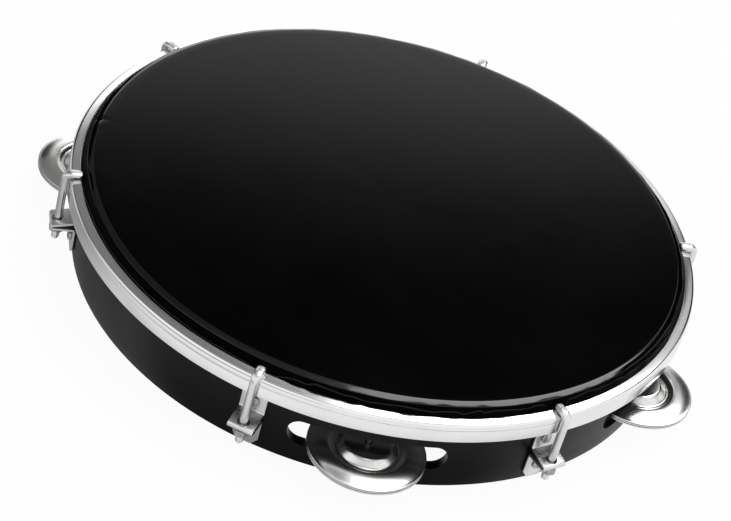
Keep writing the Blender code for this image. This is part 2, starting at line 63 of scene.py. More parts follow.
mm = 0.001
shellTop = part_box("shell")[1].z
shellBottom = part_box("shell")[0].z
hookTurns = [math.radians(angle) for angle in (310.3, 13.5, 79.5, 148.0, 198.5, 257.2)]
jingleTurns = [math.radians(angle) for angle in (278.0, 340.9, 47.1, 113.2, 179.4)]


# ---- node helpers

# Joins each named or numbered input to a socket, or sets it to a plain value
def feed(tree, node, inputs):
    for slotName, value in inputs.items():
        socket = node.inputs[slotName]
        if isinstance(value, bpy.types.NodeSocket):
            tree.links.new(value, socket)
        else:
            socket.default_value = value


def addNode(tree, kind, inputs=None, **settings):
    node = tree.nodes.new(kind)
    for name, value in settings.items():
        setattr(node, name, value)
    feed(tree, node, inputs or {})
    return node


def calc(tree, operation, *values):
    return addNode(tree, "ShaderNodeMath", dict(enumerate(values)), operation=operation).outputs[0]


# One operation of two values, carried on through all that are given
def chain(tree, operation, *values):
    result = values[0]
    for value in values[1:]:
        result = calc(tree, operation, result, value)
    return result


def times(tree, *values):
    return chain(tree, "MULTIPLY", *values)


def inputKey(tree, label):
    return next(item.identifier for item in tree.interface.items_tree
                if item.item_type == "SOCKET" and item.in_out == "INPUT" and item.name == label)


# A new tree with one output: the tree, the sockets of its inputs and the node that ends it
def newTree(name, family, inputs, output):
    tree = bpy.data.node_groups.new(name, family + "NodeTree")
    for label, kind, value in inputs:
        socket = tree.interface.new_socket(label, in_out="INPUT", socket_type="NodeSocket" + kind)
        if value is not None:
            socket.default_value = value
    tree.interface.new_socket(output[0], in_out="OUTPUT", socket_type="NodeSocket" + output[1])
    start = addNode(tree, "NodeGroupInput")
    return tree, [start.outputs[label] for label, _, _ in inputs], addNode(tree, "NodeGroupOutput")


# ---- Geometry Nodes: a section spun round its axis, and a piece put at its stations

# Ends a tree: what it made becomes real and takes its finish
def endTree(tree, end, geometry, finish):
    real = addNode(tree, "GeometryNodeRealizeInstances", {"Geometry": geometry})
    coat = addNode(tree, "GeometryNodeSetMaterial", {"Geometry": real.outputs[0], "Material": finish})
    feed(tree, end, {"Geometry": coat.outputs[0]})
    return tree


def buildTurnedTree():
    tree, (section, facets, finish), end = newTree(
        "turnedPiece", "Geometry", [("Geometry", "Geometry", None), ("Facets", "Int", 96),
                                    ("Finish", "Material", None)], ("Geometry", "Geometry"))
    size = addNode(tree, "GeometryNodeAttributeDomainSize", {"Geometry": section}, component="MESH")
    corners = size.outputs["Point Count"]
    grid = addNode(tree, "GeometryNodeMeshGrid",
                   {"Vertices X": calc(tree, "ADD", facets, 1.0), "Vertices Y": corners})
    index = addNode(tree, "GeometryNodeInputIndex").outputs[0]
    column = calc(tree, "FLOOR", calc(tree, "DIVIDE", calc(tree, "ADD", index, 0.25), corners))
    row = calc(tree, "SUBTRACT", index, times(tree, column, corners))
    position = addNode(tree, "GeometryNodeInputPosition").outputs[0]
    sample = addNode(tree, "GeometryNodeSampleIndex", {"Geometry": section, "Value": position, "Index": row},
                     data_type="FLOAT_VECTOR", domain="POINT")
    radius, _, level = addNode(tree, "ShaderNodeSeparateXYZ", {0: sample.outputs[0]}).outputs
    turn = times(tree, calc(tree, "DIVIDE", column, facets), 2.0 * math.pi)
    spot = addNode(tree, "ShaderNodeCombineXYZ", {"X": times(tree, radius, calc(tree, "COSINE", turn)),
                                                  "Y": times(tree, radius, calc(tree, "SINE", turn)), "Z": level})
    move = addNode(tree, "GeometryNodeSetPosition", {"Geometry": grid.outputs["Mesh"],
                                                     "Position": spot.outputs[0]})
    closed = addNode(tree, "GeometryNodeMergeByDistance", {"Geometry": move.outputs[0], "Distance": 0.000002})
    return endTree(tree, end, closed.outputs[0], finish)


# Each station is a point with a "turn"; a piece may also be spun at random about its own axis there
def buildStationTree():
    tree, (piece, stations, axis, spin, seed, finish), end = newTree(
        "piecesAtStations", "Geometry",
        [("Geometry", "Geometry", None), ("Stations", "Object", None), ("Own Axis", "Vector", (0.0, 0.0, 1.0)),
         ("Own Spin", "Float", 0.0), ("Seed", "Int", 1), ("Finish", "Material", None)], ("Geometry", "Geometry"))
    places = addNode(tree, "GeometryNodeObjectInfo", {"Object": stations})
    turn = addNode(tree, "GeometryNodeInputNamedAttribute", {"Name": "turn"}, data_type="FLOAT")
    facing = addNode(tree, "ShaderNodeCombineXYZ", {"Z": turn.outputs[0]})
    copies = addNode(tree, "GeometryNodeInstanceOnPoints", {"Points": places.outputs["Geometry"],
                                                            "Instance": piece, "Rotation": facing.outputs[0]})
    chance = addNode(tree, "FunctionNodeRandomValue", {2: times(tree, spin, -1.0), 3: spin, "Seed": seed},
                     data_type="FLOAT")
    twist = addNode(tree, "FunctionNodeAxisAngleToRotation", {"Axis": axis, "Angle": chance.outputs[1]})
    spun = addNode(tree, "GeometryNodeRotateInstances", {"Instances": copies.outputs[0],
                                                         "Rotation": twist.outputs[0]})
    return endTree(tree, end, spun.outputs[0], finish)


turnedTree = buildTurnedTree()
stationTree = buildStationTree()


# ---- mesh helpers

def linked(name, mesh):
    piece = bpy.data.objects.new(name, mesh)
    bpy.context.scene.collection.objects.link(piece)
    return piece


def plainMesh(name, points, faces=()):
    mesh = bpy.data.meshes.new(name)
    mesh.from_pydata(points, [], faces)
    return mesh


# Doubles merged, faces outwards, smooth with sharp edges past an angle
def settled(mesh, sharpAngle):
    bm = bmesh.new()
    bm.from_mesh(mesh)
    bmesh.ops.remove_doubles(bm, verts=bm.verts, dist=1e-6)
    bmesh.ops.dissolve_degenerate(bm, edges=bm.edges, dist=1e-7)
    bmesh.ops.recalc_face_normals(bm, faces=bm.faces)
    bm.to_mesh(mesh)
    bm.free()
    mesh.shade_smooth()
    mesh.set_sharp_from_angle(angle=math.radians(sharpAngle))
    return mesh


def meshFrom(name, points, faces, finish, sharpAngle):
    mesh = plainMesh(name, [tuple(point) for point in points], faces)
    mesh.materials.append(finish)
    return settled(mesh, sharpAngle)


# What an object's modifier makes of it, as a plain mesh; the objects that were needed for it go
def evaluated(piece, *spent):
    graph = bpy.context.evaluated_depsgraph_get()
    mesh = bpy.data.meshes.new_from_object(piece.evaluated_get(graph), depsgraph=graph)
    for item in (piece, *spent):
        bpy.data.objects.remove(item, do_unlink=True)
    return mesh


def grown(name, base, tree, inputs, sharpAngle):
    holder = linked(name + "Base", base)
    step = holder.modifiers.new(tree.name, "NODES")
    step.node_group = tree
    for label, value in inputs.items():
        step[inputKey(tree, label)] = value
    mesh = evaluated(holder)
    mesh.name = name
    return settled(mesh, sharpAngle)


def carved(mesh, cutterMesh, sharpAngle):
    body, cutter = linked("body", mesh), linked("cutter", cutterMesh)
    step = body.modifiers.new("carve", "BOOLEAN")
    step.operation = "DIFFERENCE"
    step.solver = "EXACT"
    step.object = cutter
    return settled(evaluated(body, cutter), sharpAngle)


# A section in millimetres, spun round +Z
def turned(name, section, facets, finish, closed=True, sharpAngle=35.0):
    line = list(section) + ([section[0]] if closed else [])
    base = plainMesh(name + "Section", [(radius * mm, 0.0, level * mm) for radius, level in line])
    return grown(name, base, turnedTree, {"Facets": facets, "Finish": finish}, sharpAngle)


# One mesh with a copy of the piece at every turn
def placed(name, mesh, finish, turns, radius=0.0, level=0.0, sharpAngle=35.0, axis=(0.0, 0.0, 1.0), spin=0.0,
           seed=1):
    spots = plainMesh(name + "Stations", [(radius * mm * math.cos(turn), radius * mm * math.sin(turn), level * mm)
                                          for turn in turns])
    spots.attributes.new("turn", "FLOAT", "POINT").data.foreach_set("value", turns)
    stations = linked(name + "Stations", spots)
    done = grown(name, mesh, stationTree, {"Stations": stations, "Own Axis": axis, "Own Spin": spin, "Seed": seed,
                                           "Finish": finish}, sharpAngle)
    bpy.data.objects.remove(stations, do_unlink=True)
    return done


# Shows one mesh with a copy of the piece at every turn, in place of as many numbered nodes
def showRing(name, body, slotName, node, mesh, finish, turns, *place, **more):
    done = placed(name, mesh, finish, turns, *place, **more)
    show(name, done, body, slotName, *[f"{node}_{k}" for k in range(1, len(turns) + 1)])


# Writes each corner's own x and y, in metres, as the piece's plan map, before it is placed
def planMap(mesh):
    layer = mesh.uv_layers.new(name="plan")
    for loop in mesh.loops:
        layer.data[loop.index].uv = mesh.vertices[loop.vertex_index].co.xy
    return mesh


def arcPoints(centre, radius, start, end, steps):
    return [(centre[0] + radius * math.cos(start + (end - start) * k / steps),
             centre[1] + radius * math.sin(start + (end - start) * k / steps)) for k in range(steps + 1)]


# A line through corners (x, y, round), each rounded by its own radius
def roundedLine(corners, steps=4, closed=True):
    line = []
    for k, (x, y, rounding) in enumerate(corners):
        here = Vector((x, y))
        if rounding <= 0.0 or (not closed and k in (0, len(corners) - 1)):
            line.append((x, y))
            continue
        before = Vector(corners[k - 1][:2]) - here
        after = Vector(corners[(k + 1) % len(corners)][:2]) - here
        half = before.angle(after) / 2.0
        reach = min(rounding / math.tan(half), 0.49 * before.length, 0.49 * after.length)
        centre = here + (before.normalized() + after.normalized()).normalized() * (reach / math.cos(half))
        first = here + before.normalized() * reach - centre
        last = here + after.normalized() * reach - centre
        start = math.atan2(first.y, first.x)
        swing = math.remainder(math.atan2(last.y, last.x) - start, 2.0 * math.pi)
        line += arcPoints(centre, first.length, start, start + swing, steps)
    return line


# Faces between rows of point numbers that follow each other, each row a closed loop
def bridged(rows):
    faces = []
    for near, far in zip(rows, rows[1:]):
        for k in range(len(near)):
            side = (k + 1) % len(near)
            faces.append((near[k], near[side], far[side], far[k]))
    return faces


def rowFaces(count, width, closedAlong=False):
    rows = [range(row * width, (row + 1) * width) for row in range(count)]
    return bridged(rows + rows[:1] if closedAlong else rows)


# A bar through sections of equal count, with both ends closed
def barFrom(name, sections, finish, sharpAngle):
    width = len(sections[0])
    points = [Vector(point) * mm for section in sections for point in section]
    ends = [tuple(range(width)), tuple(range(len(points) - width, len(points)))]
    return meshFrom(name, points, rowFaces(len(sections), width) + ends, finish, sharpAngle)


# Upright cylinders to cut with, in metres
def cylinders(name, spots, radius, depth, segments):
    mesh = bpy.data.meshes.new(name)
    bm = bmesh.new()
    for spot in spots:
        bmesh.ops.create_cone(bm, cap_ends=True, segments=segments, radius1=radius, radius2=radius, depth=depth,
                              matrix=Matrix.Translation(spot))
    bm.to_mesh(mesh)
    bm.free()
    return mesh


def show(name, mesh, body, slotName, *nodes):
    piece = linked(name, mesh)
    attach(piece, body)
    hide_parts(*nodes)


# ---- shader groups

def noise(tree, vector, scale, detail=2.0, roughness=0.5):
    return addNode(tree, "ShaderNodeTexNoise", {"Vector": vector, "Scale": scale, "Detail": detail,
                                                "Roughness": roughness}).outputs[0]


# A smooth step of a value from one level to another
def fade(tree, value, start, end, first=0.0, last=1.0):
    borders = {"Value": value, "From Min": start, "From Max": end, "To Min": first, "To Max": last}
    return addNode(tree, "ShaderNodeMapRange", borders, interpolation_type="SMOOTHSTEP").outputs[0]


# Soft blotches left by hands: a mask from 0 to 1
def buildHandling():
    group, (where, size, streaks), end = newTree(
        "handling", "Shader", [("Vector", "Vector", None), ("Size", "Float", 30.0), ("Streaks", "Float", 0.3)],
        ("Mask", "Float"))
    broad = noise(group, where, size, 5.0, 0.6)
    fine = noise(group, where, times(group, size, 9.0), 3.0)
    mixed = calc(group, "MULTIPLY_ADD", fine, streaks, broad)
    feed(group, end, {"Mask": fade(group, mixed, 0.42, 0.85)})
    return group


# Fine rings left by turning or polishing about the vector's Z axis: a height from 0 to 1
def buildRings():
    group, (where, pitch, arc), end = newTree(
        "polishRings", "Shader", [("Vector", "Vector", None), ("Pitch", "Float", 2500.0), ("Arc", "Float", 6.0)],
        ("Height", "Float"))
    x, y, z = addNode(group, "ShaderNodeSeparateXYZ", {0: where}).outputs
    across = calc(group, "SQRT", calc(group, "ADD", times(group, x, x), times(group, y, y)))
    turn = calc(group, "ARCTAN2", y, x)
    spot = addNode(group, "ShaderNodeCombineXYZ", {"X": times(group, across, pitch), "Y": times(group, z, pitch),
                                                   "Z": times(group, calc(group, "COSINE", turn), arc)})
    feed(group, end, {"Height": noise(group, spot.outputs[0], 1.0, 3.0)})
    return group


# The dull pebbled skin of a moulding or a coated cloth: a height from 0 to 1
def buildPebble():
    group, (where, size), end = newTree(
        "pebble", "Shader", [("Vector", "Vector", None), ("Size", "Float", 1500.0)], ("Height", "Float"))
    cells = addNode(group, "ShaderNodeTexVoronoi", {"Vector": where, "Scale": size}, feature="SMOOTH_F1")
    dust = noise(group, where, times(group, size, 0.35), 4.0)
    feed(group, end, {"Height": calc(group, "MULTIPLY_ADD", dust, 0.8, cells.outputs["Distance"])})
    return group


handling = buildHandling()
polishRings = buildRings()
pebble = buildPebble()


# ---- finishes: in each pair, the first value is where it is clean and the second where hands have been

def useGroup(tree, group, **inputs):
    return addNode(tree, "ShaderNodeGroup", inputs, node_tree=group).outputs[0]


def newFinish(name):
    finish = bpy.data.materials.new(name)
    finish.use_nodes = True
    tree = finish.node_tree
    return finish, tree, tree.nodes["Principled BSDF"], addNode(tree, "ShaderNodeTexCoord").outputs["Object"]


# Each end is a socket, or plain red, green and blue
def blendColour(tree, mask, *ends):
    low, high = ((*tone, 1.0) if isinstance(tone, tuple) else tone for tone in ends)
    return addNode(tree, "ShaderNodeMix", {0: mask, 6: low, 7: high}, data_type="RGBA").outputs[2]


def ranged(tree, mask, low, high):
    return calc(tree, "MULTIPLY_ADD", mask, high - low, low)


def bumped(tree, height, strength, distance, **under):
    return addNode(tree, "ShaderNodeBump", {"Strength": strength, "Distance": distance, "Height": height,
                                            **under}).outputs[0]


# Bare and plated metal with fine rings, on a slow swell
def metalFinish(name, metal):
    finish, tree, shader, where = newFinish(name)
    spun = addNode(tree, "ShaderNodeUVMap", uv_map="plan").outputs[0] if metal["plan"] else where
    mask = useGroup(tree, handling, Vector=where, Size=metal["blotch"], Streaks=0.35)
    rings = useGroup(tree, polishRings, Vector=spun, Pitch=metal["pitch"], Arc=metal["arc"])
    under = bumped(tree, noise(tree, where, metal["swell"], 1.0), 1.0, metal["swellHeight"])
    feed(tree, shader, {
        "Base Color": blendColour(tree, mask, *metal["tones"]), "Metallic": 1.0,
        "Roughness": calc(tree, "MULTIPLY_ADD", rings, metal["ringRough"], ranged(tree, mask, *metal["rough"])),
        "Normal": bumped(tree, rings, metal["ringBump"], 0.00002, Normal=under)})
    return finish


plainMetal = {"ringRough": 0.05, "arc": 3.0, "ringBump": 0.3, "swellHeight": 0.0001, "plan": False}
chromeSizes = {**plainMetal, "tones": ((0.86, 0.86, 0.865), (0.82, 0.82, 0.825)), "rough": (0.10, 0.13),
               "ringRough": 0.03, "blotch": 30.0, "pitch": 2600.0, "arc": 5.0, "ringBump": 0.04, "swell": 40.0}
plateSizes = {**plainMetal, "tones": ((0.80, 0.80, 0.80), (0.74, 0.74, 0.735)), "rough": (0.22, 0.34),
              "blotch": 120.0, "pitch": 4200.0, "ringBump": 0.15, "swell": 200.0, "swellHeight": 0.00006}
nickelSizes = {**plainMetal, "tones": ((0.80, 0.795, 0.785), (0.72, 0.715, 0.70)), "rough": (0.16, 0.22),
               "blotch": 80.0, "pitch": 3800.0, "arc": 2.0, "ringBump": 0.20, "swell": 90.0, "plan": True}
steelSizes = {**plainMetal, "tones": ((0.50, 0.50, 0.505), (0.33, 0.325, 0.32)), "rough": (0.28, 0.45),
              "ringRough": 0.08, "blotch": 300.0, "pitch": 5200.0, "swell": 300.0, "swellHeight": 0.0003}
nutPlateSizes = {**plainMetal, "tones": ((0.72, 0.72, 0.72), (0.46, 0.455, 0.445)), "rough": (0.22, 0.40),
                 "blotch": 260.0, "pitch": 4200.0, "ringBump": 0.2, "swell": 260.0}
pinSizes = {**plainMetal, "tones": ((0.10, 0.10, 0.10), (0.06, 0.06, 0.058)), "rough": (0.42, 0.58),
            "blotch": 200.0, "pitch": 5200.0, "swell": 300.0, "swellHeight": 0.0002}
wireSizes = {**plainMetal, "tones": ((0.48, 0.48, 0.49), (0.36, 0.35, 0.34)), "rough": (0.35, 0.50),
             "blotch": 90.0, "pitch": 3000.0, "swell": 120.0, "swellHeight": 0.0003}

hoopChrome = metalFinish("hoopChrome", chromeSizes)
hookPlate = metalFinish("hookPlate", plateSizes)
jingleNickel = metalFinish("jingleNickel", nickelSizes)
fastenerSteel = metalFinish("fastenerSteel", steelSizes)
hoopWire = metalFinish("hoopWire", wireSizes)
nutPlate = metalFinish("nutPlate", nutPlateSizes)
pinSteel = metalFinish("pinSteel", pinSizes)


# A pebbled, nearly black surface; a cloth is also paler along its cut edge
def darkFinish(name, dark):
    finish, tree, shader, where = newFinish(name)
    mask = useGroup(tree, handling, Vector=where, Size=dark["blotch"], Streaks=dark["streaks"])
    tone, rough = blendColour(tree, mask, *dark["tones"]), ranged(tree, mask, *dark["rough"])
    if "cutEdge" in dark:
        trim = addNode(tree, "ShaderNodeAttribute", attribute_name="trim").outputs["Fac"]
        tone = blendColour(tree, trim, tone, dark["cutEdge"])
        rough = calc(tree, "MULTIPLY_ADD", trim, 0.3, rough)
    grain = useGroup(tree, pebble, Vector=where, Size=dark["pebble"])
    feed(tree, shader, {"Base Color": tone, "Roughness": rough, "IOR": 1.5, "Specular IOR Level": dark["gloss"],
                        "Normal": bumped(tree, grain, dark["bump"], dark["grain"])})
    return finish


# Moulded shell; the head's coated face, its back, and the dull cloth where the tuck stands up, darkened as painted
# shade
plastic = {"tones": ((0.0010, 0.0010, 0.0011), (0.0018, 0.0018, 0.0019)), "rough": (0.34, 0.46), "blotch": 22.0,
           "streaks": 0.25, "pebble": 1700.0, "grain": 0.00006, "bump": 0.12, "gloss": 0.20}
plainCloth = {"streaks": 0.3, "grain": 0.00004, "cutEdge": (0.022, 0.022, 0.022), "blotch": 60.0,
              "pebble": 1800.0, "bump": 0.12}
faceCloth = {**plainCloth, "tones": ((0.0008, 0.0008, 0.0009), (0.0013, 0.0013, 0.0014)), "rough": (0.085, 0.10),
             "cutEdge": (0.008, 0.008, 0.008), "blotch": 14.0, "pebble": 2100.0, "bump": 0.02, "gloss": 0.5}
backCloth = {**plainCloth, "tones": ((0.0010, 0.0010, 0.0011), (0.0022, 0.0022, 0.0023)), "rough": (0.30, 0.42),
             "gloss": 0.20}
# Painted shade: the tuck's cloth is darker and nearly without gloss, for the shaded gutter between the collar and the
# hoop's lip
tuckClothPaintedShade = {**plainCloth, "tones": ((0.0006, 0.0006, 0.0006), (0.0010, 0.0010, 0.0010)), "rough": (0.34, 0.46),
             "gloss": 0.012}

shellPlastic = darkFinish("shellPlastic", plastic)
headCloth = darkFinish("headCloth", faceCloth)
headBack = darkFinish("headBack", backCloth)
headTuckPaintedShade = darkFinish("headTuckPaintedShade", tuckClothPaintedShade)
print("finishes ready")


# ---- shell: the wall is laid out as a band with five windows, and each window closes in on its slot

shellSizes = {"outer": 153.0 * mm, "inner": 147.0 * mm, "bearing": 4.4 * mm, "edge": 0.8 * mm,
              "slotLength": 75.0 * mm, "slotHeight": 13.7 * mm, "slotFloor": 10.3 * mm, "slotEdge": 0.3 * mm,
              "windowHalf": 43.0 * mm, "windowMargin": 4.6 * mm, "pinBore": 1.55 * mm, "pinBoreDepth": 32.3 * mm,
              "bands": (-0.010, -0.0155), "marginSteps": 4, "slotSteps": 26, "rungs": 8, "endTurn": 11.25,
              "rimShares": (0.3, 0.6, 0.82, 1.0), "windowAngle": 0.57}


def buildShell(size):
    outer, inner, edge, bearing = size["outer"], size["inner"], size["edge"], size["bearing"]
    half, steps, margin, tall = size["windowHalf"], size["slotSteps"], size["marginSteps"], size["rungs"]
    wall = outer - inner
    endRadius = size["slotHeight"] / 2.0
    middle = shellBottom + size["slotFloor"] + endRadius
    straight = size["slotLength"] / 2.0 - endRadius
    windowTop = middle + endRadius + size["windowMargin"]
    windowFoot = middle - endRadius - size["windowMargin"]
    along = [-half + (half - straight) * k / margin for k in range(margin)]
    along += [-straight + 2.0 * straight * k / steps for k in range(steps + 1)]
    along += [straight + (half - straight) * k / margin for k in range(1, margin + 1)]
    last = len(along) - 1
    columns, windows = [], []          # the angle on the outer face and on the inner face
    for k, turn in enumerate(jingleTurns):
        windows.append(len(columns))
        columns += [(turn + math.asin(x / outer), turn + math.asin(x / inner)) for x in along]
        following = jingleTurns[(k + 1) % len(jingleTurns)]
        following += 2.0 * math.pi if following < turn else 0.0
        gaps = max(4, round(math.degrees(following - turn - size["windowAngle"]) / 2.0))
        for share in (step / gaps for step in range(1, gaps)):
            columns.append(tuple(columns[windows[-1] + last][side] * (1.0 - share)
                                 + (following - math.asin(half / radius)) * share
                                 for side, radius in enumerate((outer, inner))))
    width = len(columns)
    rungs = [windowTop + (windowFoot - windowTop) * k / tall for k in range(tall + 1)]
    levels = [*size["bands"], *rungs]
    upper = arcPoints((outer - bearing, shellTop - bearing), bearing, math.pi / 2.0, 0.0, 7)
    outside = upper + [(outer, level) for level in levels]
    outside += arcPoints((outer - edge, shellBottom + edge), edge, 0.0, -math.pi / 2.0, 4)
    inside = arcPoints((inner + edge, shellBottom + edge), edge, -math.pi / 2.0, -math.pi, 4)
    inside += [(inner, level) for level in reversed(levels)]
    inside += arcPoints((inner + edge, shellTop - edge), edge, math.pi, math.pi / 2.0, 4)
    profile = outside + inside
    points = []
    for radius, level in profile:
        share = (outer - radius) / wall
        for outerTurn, innerTurn in columns:
            turn = outerTurn * (1.0 - share) + innerTurn * share
            points.append((radius * math.cos(turn), radius * math.sin(turn), level))
    outerRow, innerRow = len(upper) + len(size["bands"]), len(outside) + 5
    windowFaces = {(top + row) * width + first + column for first in windows for top in (outerRow, innerRow)
                   for row in range(tall) for column in range(last)}
    faces = [face for k, face in enumerate(rowFaces(len(profile), width, closedAlong=True))
             if k not in windowFaces]

    # The slot's outline, a stadium grown by an offset, in the same order as a window's border
    def stadium(grow):
        radius = endRadius + grow

        def bend(centre, first, count):
            return [(centre + radius * math.cos(a), middle + radius * math.sin(a))
                    for a in (math.radians(first - size["endTurn"] * k) for k in range(count))]

        def run(sense):
            return [(sense * (2.0 * straight * k / steps - straight), middle + sense * radius)
                    for k in range(steps + 1)]
        return (bend(-straight, 135.0, 4) + run(1.0) + bend(straight, 78.75, 15) + run(-1.0)
                + bend(-straight, 258.75, 11))

    border = [(x, windowTop) for x in along] + [(half, level) for level in rungs[1:]]
    border += [(x, windowFoot) for x in reversed(along[:-1])]
    border += [(-half, level) for level in reversed(rungs[1:-1])]
    rounding, shares = size["slotEdge"], size["rimShares"]
    rings = [(share, 0.0) for share in shares] + [(1.0, math.radians(22.5 * k)) for k in range(1, 5)]
    for first, turn in zip(windows, jingleTurns):
        rims = []                      # the border's own points, from the wall's grid
        for top, step in ((outerRow, 1), (innerRow + tall, -1)):
            foot = top + tall * step
            rims.append([top * width + first + k for k in range(last + 1)]
                        + [(top + step * k) * width + first + last for k in range(1, tall + 1)]
                        + [foot * width + first + k for k in range(last - 1, -1, -1)]
                        + [(foot - step * k) * width + first for k in range(1, tall)])
        rows = []                      # loops of point numbers from the outer face through to the inner
        for face, inwards, order in ((outer, -rounding, rings), (inner, rounding, rings[::-1])):
            for share, angle in order:
                radius = face + inwards * (1.0 - math.cos(angle))
                rows.append(range(len(points), len(points) + len(border)))
                for far, near in zip(border, stadium(rounding * (1.0 - math.sin(angle)))):
                    across, level = (f * (1.0 - share) + n * share for f, n in zip(far, near))
                    out = math.sqrt(radius * radius - across * across)
                    points.append((out * math.cos(turn) - across * math.sin(turn),
                                   out * math.sin(turn) + across * math.cos(turn), level))
        faces += bridged([rims[0], *rows, rims[1]])
    spots = [((outer - wall / 2.0) * math.cos(turn), (outer - wall / 2.0) * math.sin(turn),
              shellBottom + size["pinBoreDepth"] / 2.0 - 0.5 * mm) for turn in jingleTurns]
    bores = cylinders("pinBores", spots, size["pinBore"], size["pinBoreDepth"] + 1.0 * mm, 32)
    return carved(meshFrom("shellBody", points, faces, shellPlastic, 32.0), bores, 32.0)


show("shellBody", buildShell(shellSizes), "drum", "shell_plastic", "shell")
print("shell built")


# ---- head: one sheet that bends over the bearing edge, runs round the wire and ends in a trimmed edge

headSizes = {"half": 0.3, "columns": 800, "face": (0.0, 12.0, 40.0, 70.0, 100.0, 122.0, 138.0, 145.0),
             "bevelStart": 149.65, "bevelEnd": 152.0, "bevelLevel": -1.2, "bendFoot": -4.5, "collar": 153.5,
             "wireRadius": 155.8, "wireLevel": -9.1, "wire": 1.6, "loop": 2.2,
             "root": ((155.2, -6.86), (154.75, -6.68), (154.4, -6.25)),
             "wander": ((0.10, 17, 0.6), (0.07, 31, 2.0), (0.05, 53, 1.1), (0.03, 97, 0.0)), "nick": 181.5,
             "tuck": 154.3, "tuckStart": -5.6, "tuckShares": (0.0, 0.2, 0.4, 0.58, 0.74, 0.88, 1.0),
             "rumple": ((0.08, 41, 0.5), (0.05, 67, 0.0)), "worn": (0.95, 0.85, 0.72), "edgeLevel": -2.35,
             "shyLevel": -5.1, "lowLevel": -5.45, "standing": (260.0, 263.5, 342.0, 346.0),
             "trace": (203.0, 208.0, 250.0, 255.0), "clawHalfAngle": 1.7, "clawBlend": 1.1, "seed": 11,
             "run": (2.6, 7.5), "high": (0.15, 1.35), "low": (-1.25, -0.1), "risingShare": 0.6,
             "rising": (0.12, 0.9), "falling": (0.1, 0.88), "leanFoot": (0.0, 0.5), "leanTop": (0.2, 1.0),
             "leanOver": (313.0, 13.0), "overRise": 0.45, "overLean": 0.75, "traceRise": 0.7, "shyShare": 0.25}


def bell(values, middle, width):
    return np.exp(-((values - middle) / width) ** 2)


# A sum of waves (height, how many round the rim, phase)
def waves(turns, rows):
    return sum(height * np.sin(count * turns + phase) for height, count, phase in rows)


# The trimmed edge's level round the rim, and how far it leans in: long runs and sudden rises
def trimmedEdge(turns, size):
    dice = np.random.default_rng(size["seed"])
    at = 0.0
    knots, heights, leans = [], [], []
    while at < 360.0:
        run = dice.uniform(*size["run"])
        high, low = dice.uniform(*size["high"]), dice.uniform(*size["low"])
        rising = dice.uniform() < size["risingShare"]
        knots += [at + share * run for share in size["rising" if rising else "falling"]]
        heights += [low, high] if rising else [high, low]
        leans += [dice.uniform(*size["leanFoot"]), dice.uniform(*size["leanTop"])]
        at += run
    degrees = np.degrees(turns) % 360.0
    over = bell(degrees, *size["leanOver"])      # here it lies over towards the head
    level = size["edgeLevel"] + np.interp(degrees, knots, heights, period=360.0) + size["overRise"] * over
    lean = np.interp(degrees, knots, leans, period=360.0) + size["overLean"] * over
    standing, trace = (np.interp(degrees, size[key], (0.0, 1.0, 1.0, 0.0)) for key in ("standing", "trace"))
    # Where it doesn't stand, it ends below the lip
    shy = size["shyLevel"] + size["traceRise"] * trace + size["shyShare"] * (level - size["edgeLevel"])
    level = shy + (level - shy) * standing
    lean = lean * standing
    for hook in hookTurns:
        away = np.abs((degrees - math.degrees(hook) + 180.0) % 360.0 - 180.0)
        blend = np.clip((away - size["clawHalfAngle"]) / size["clawBlend"], 0.0, 1.0)
        blend = blend * blend * (3.0 - 2.0 * blend)
        level = np.minimum(level, size["lowLevel"] + (level - size["lowLevel"]) * blend)
        lean = lean * blend
    return level, lean


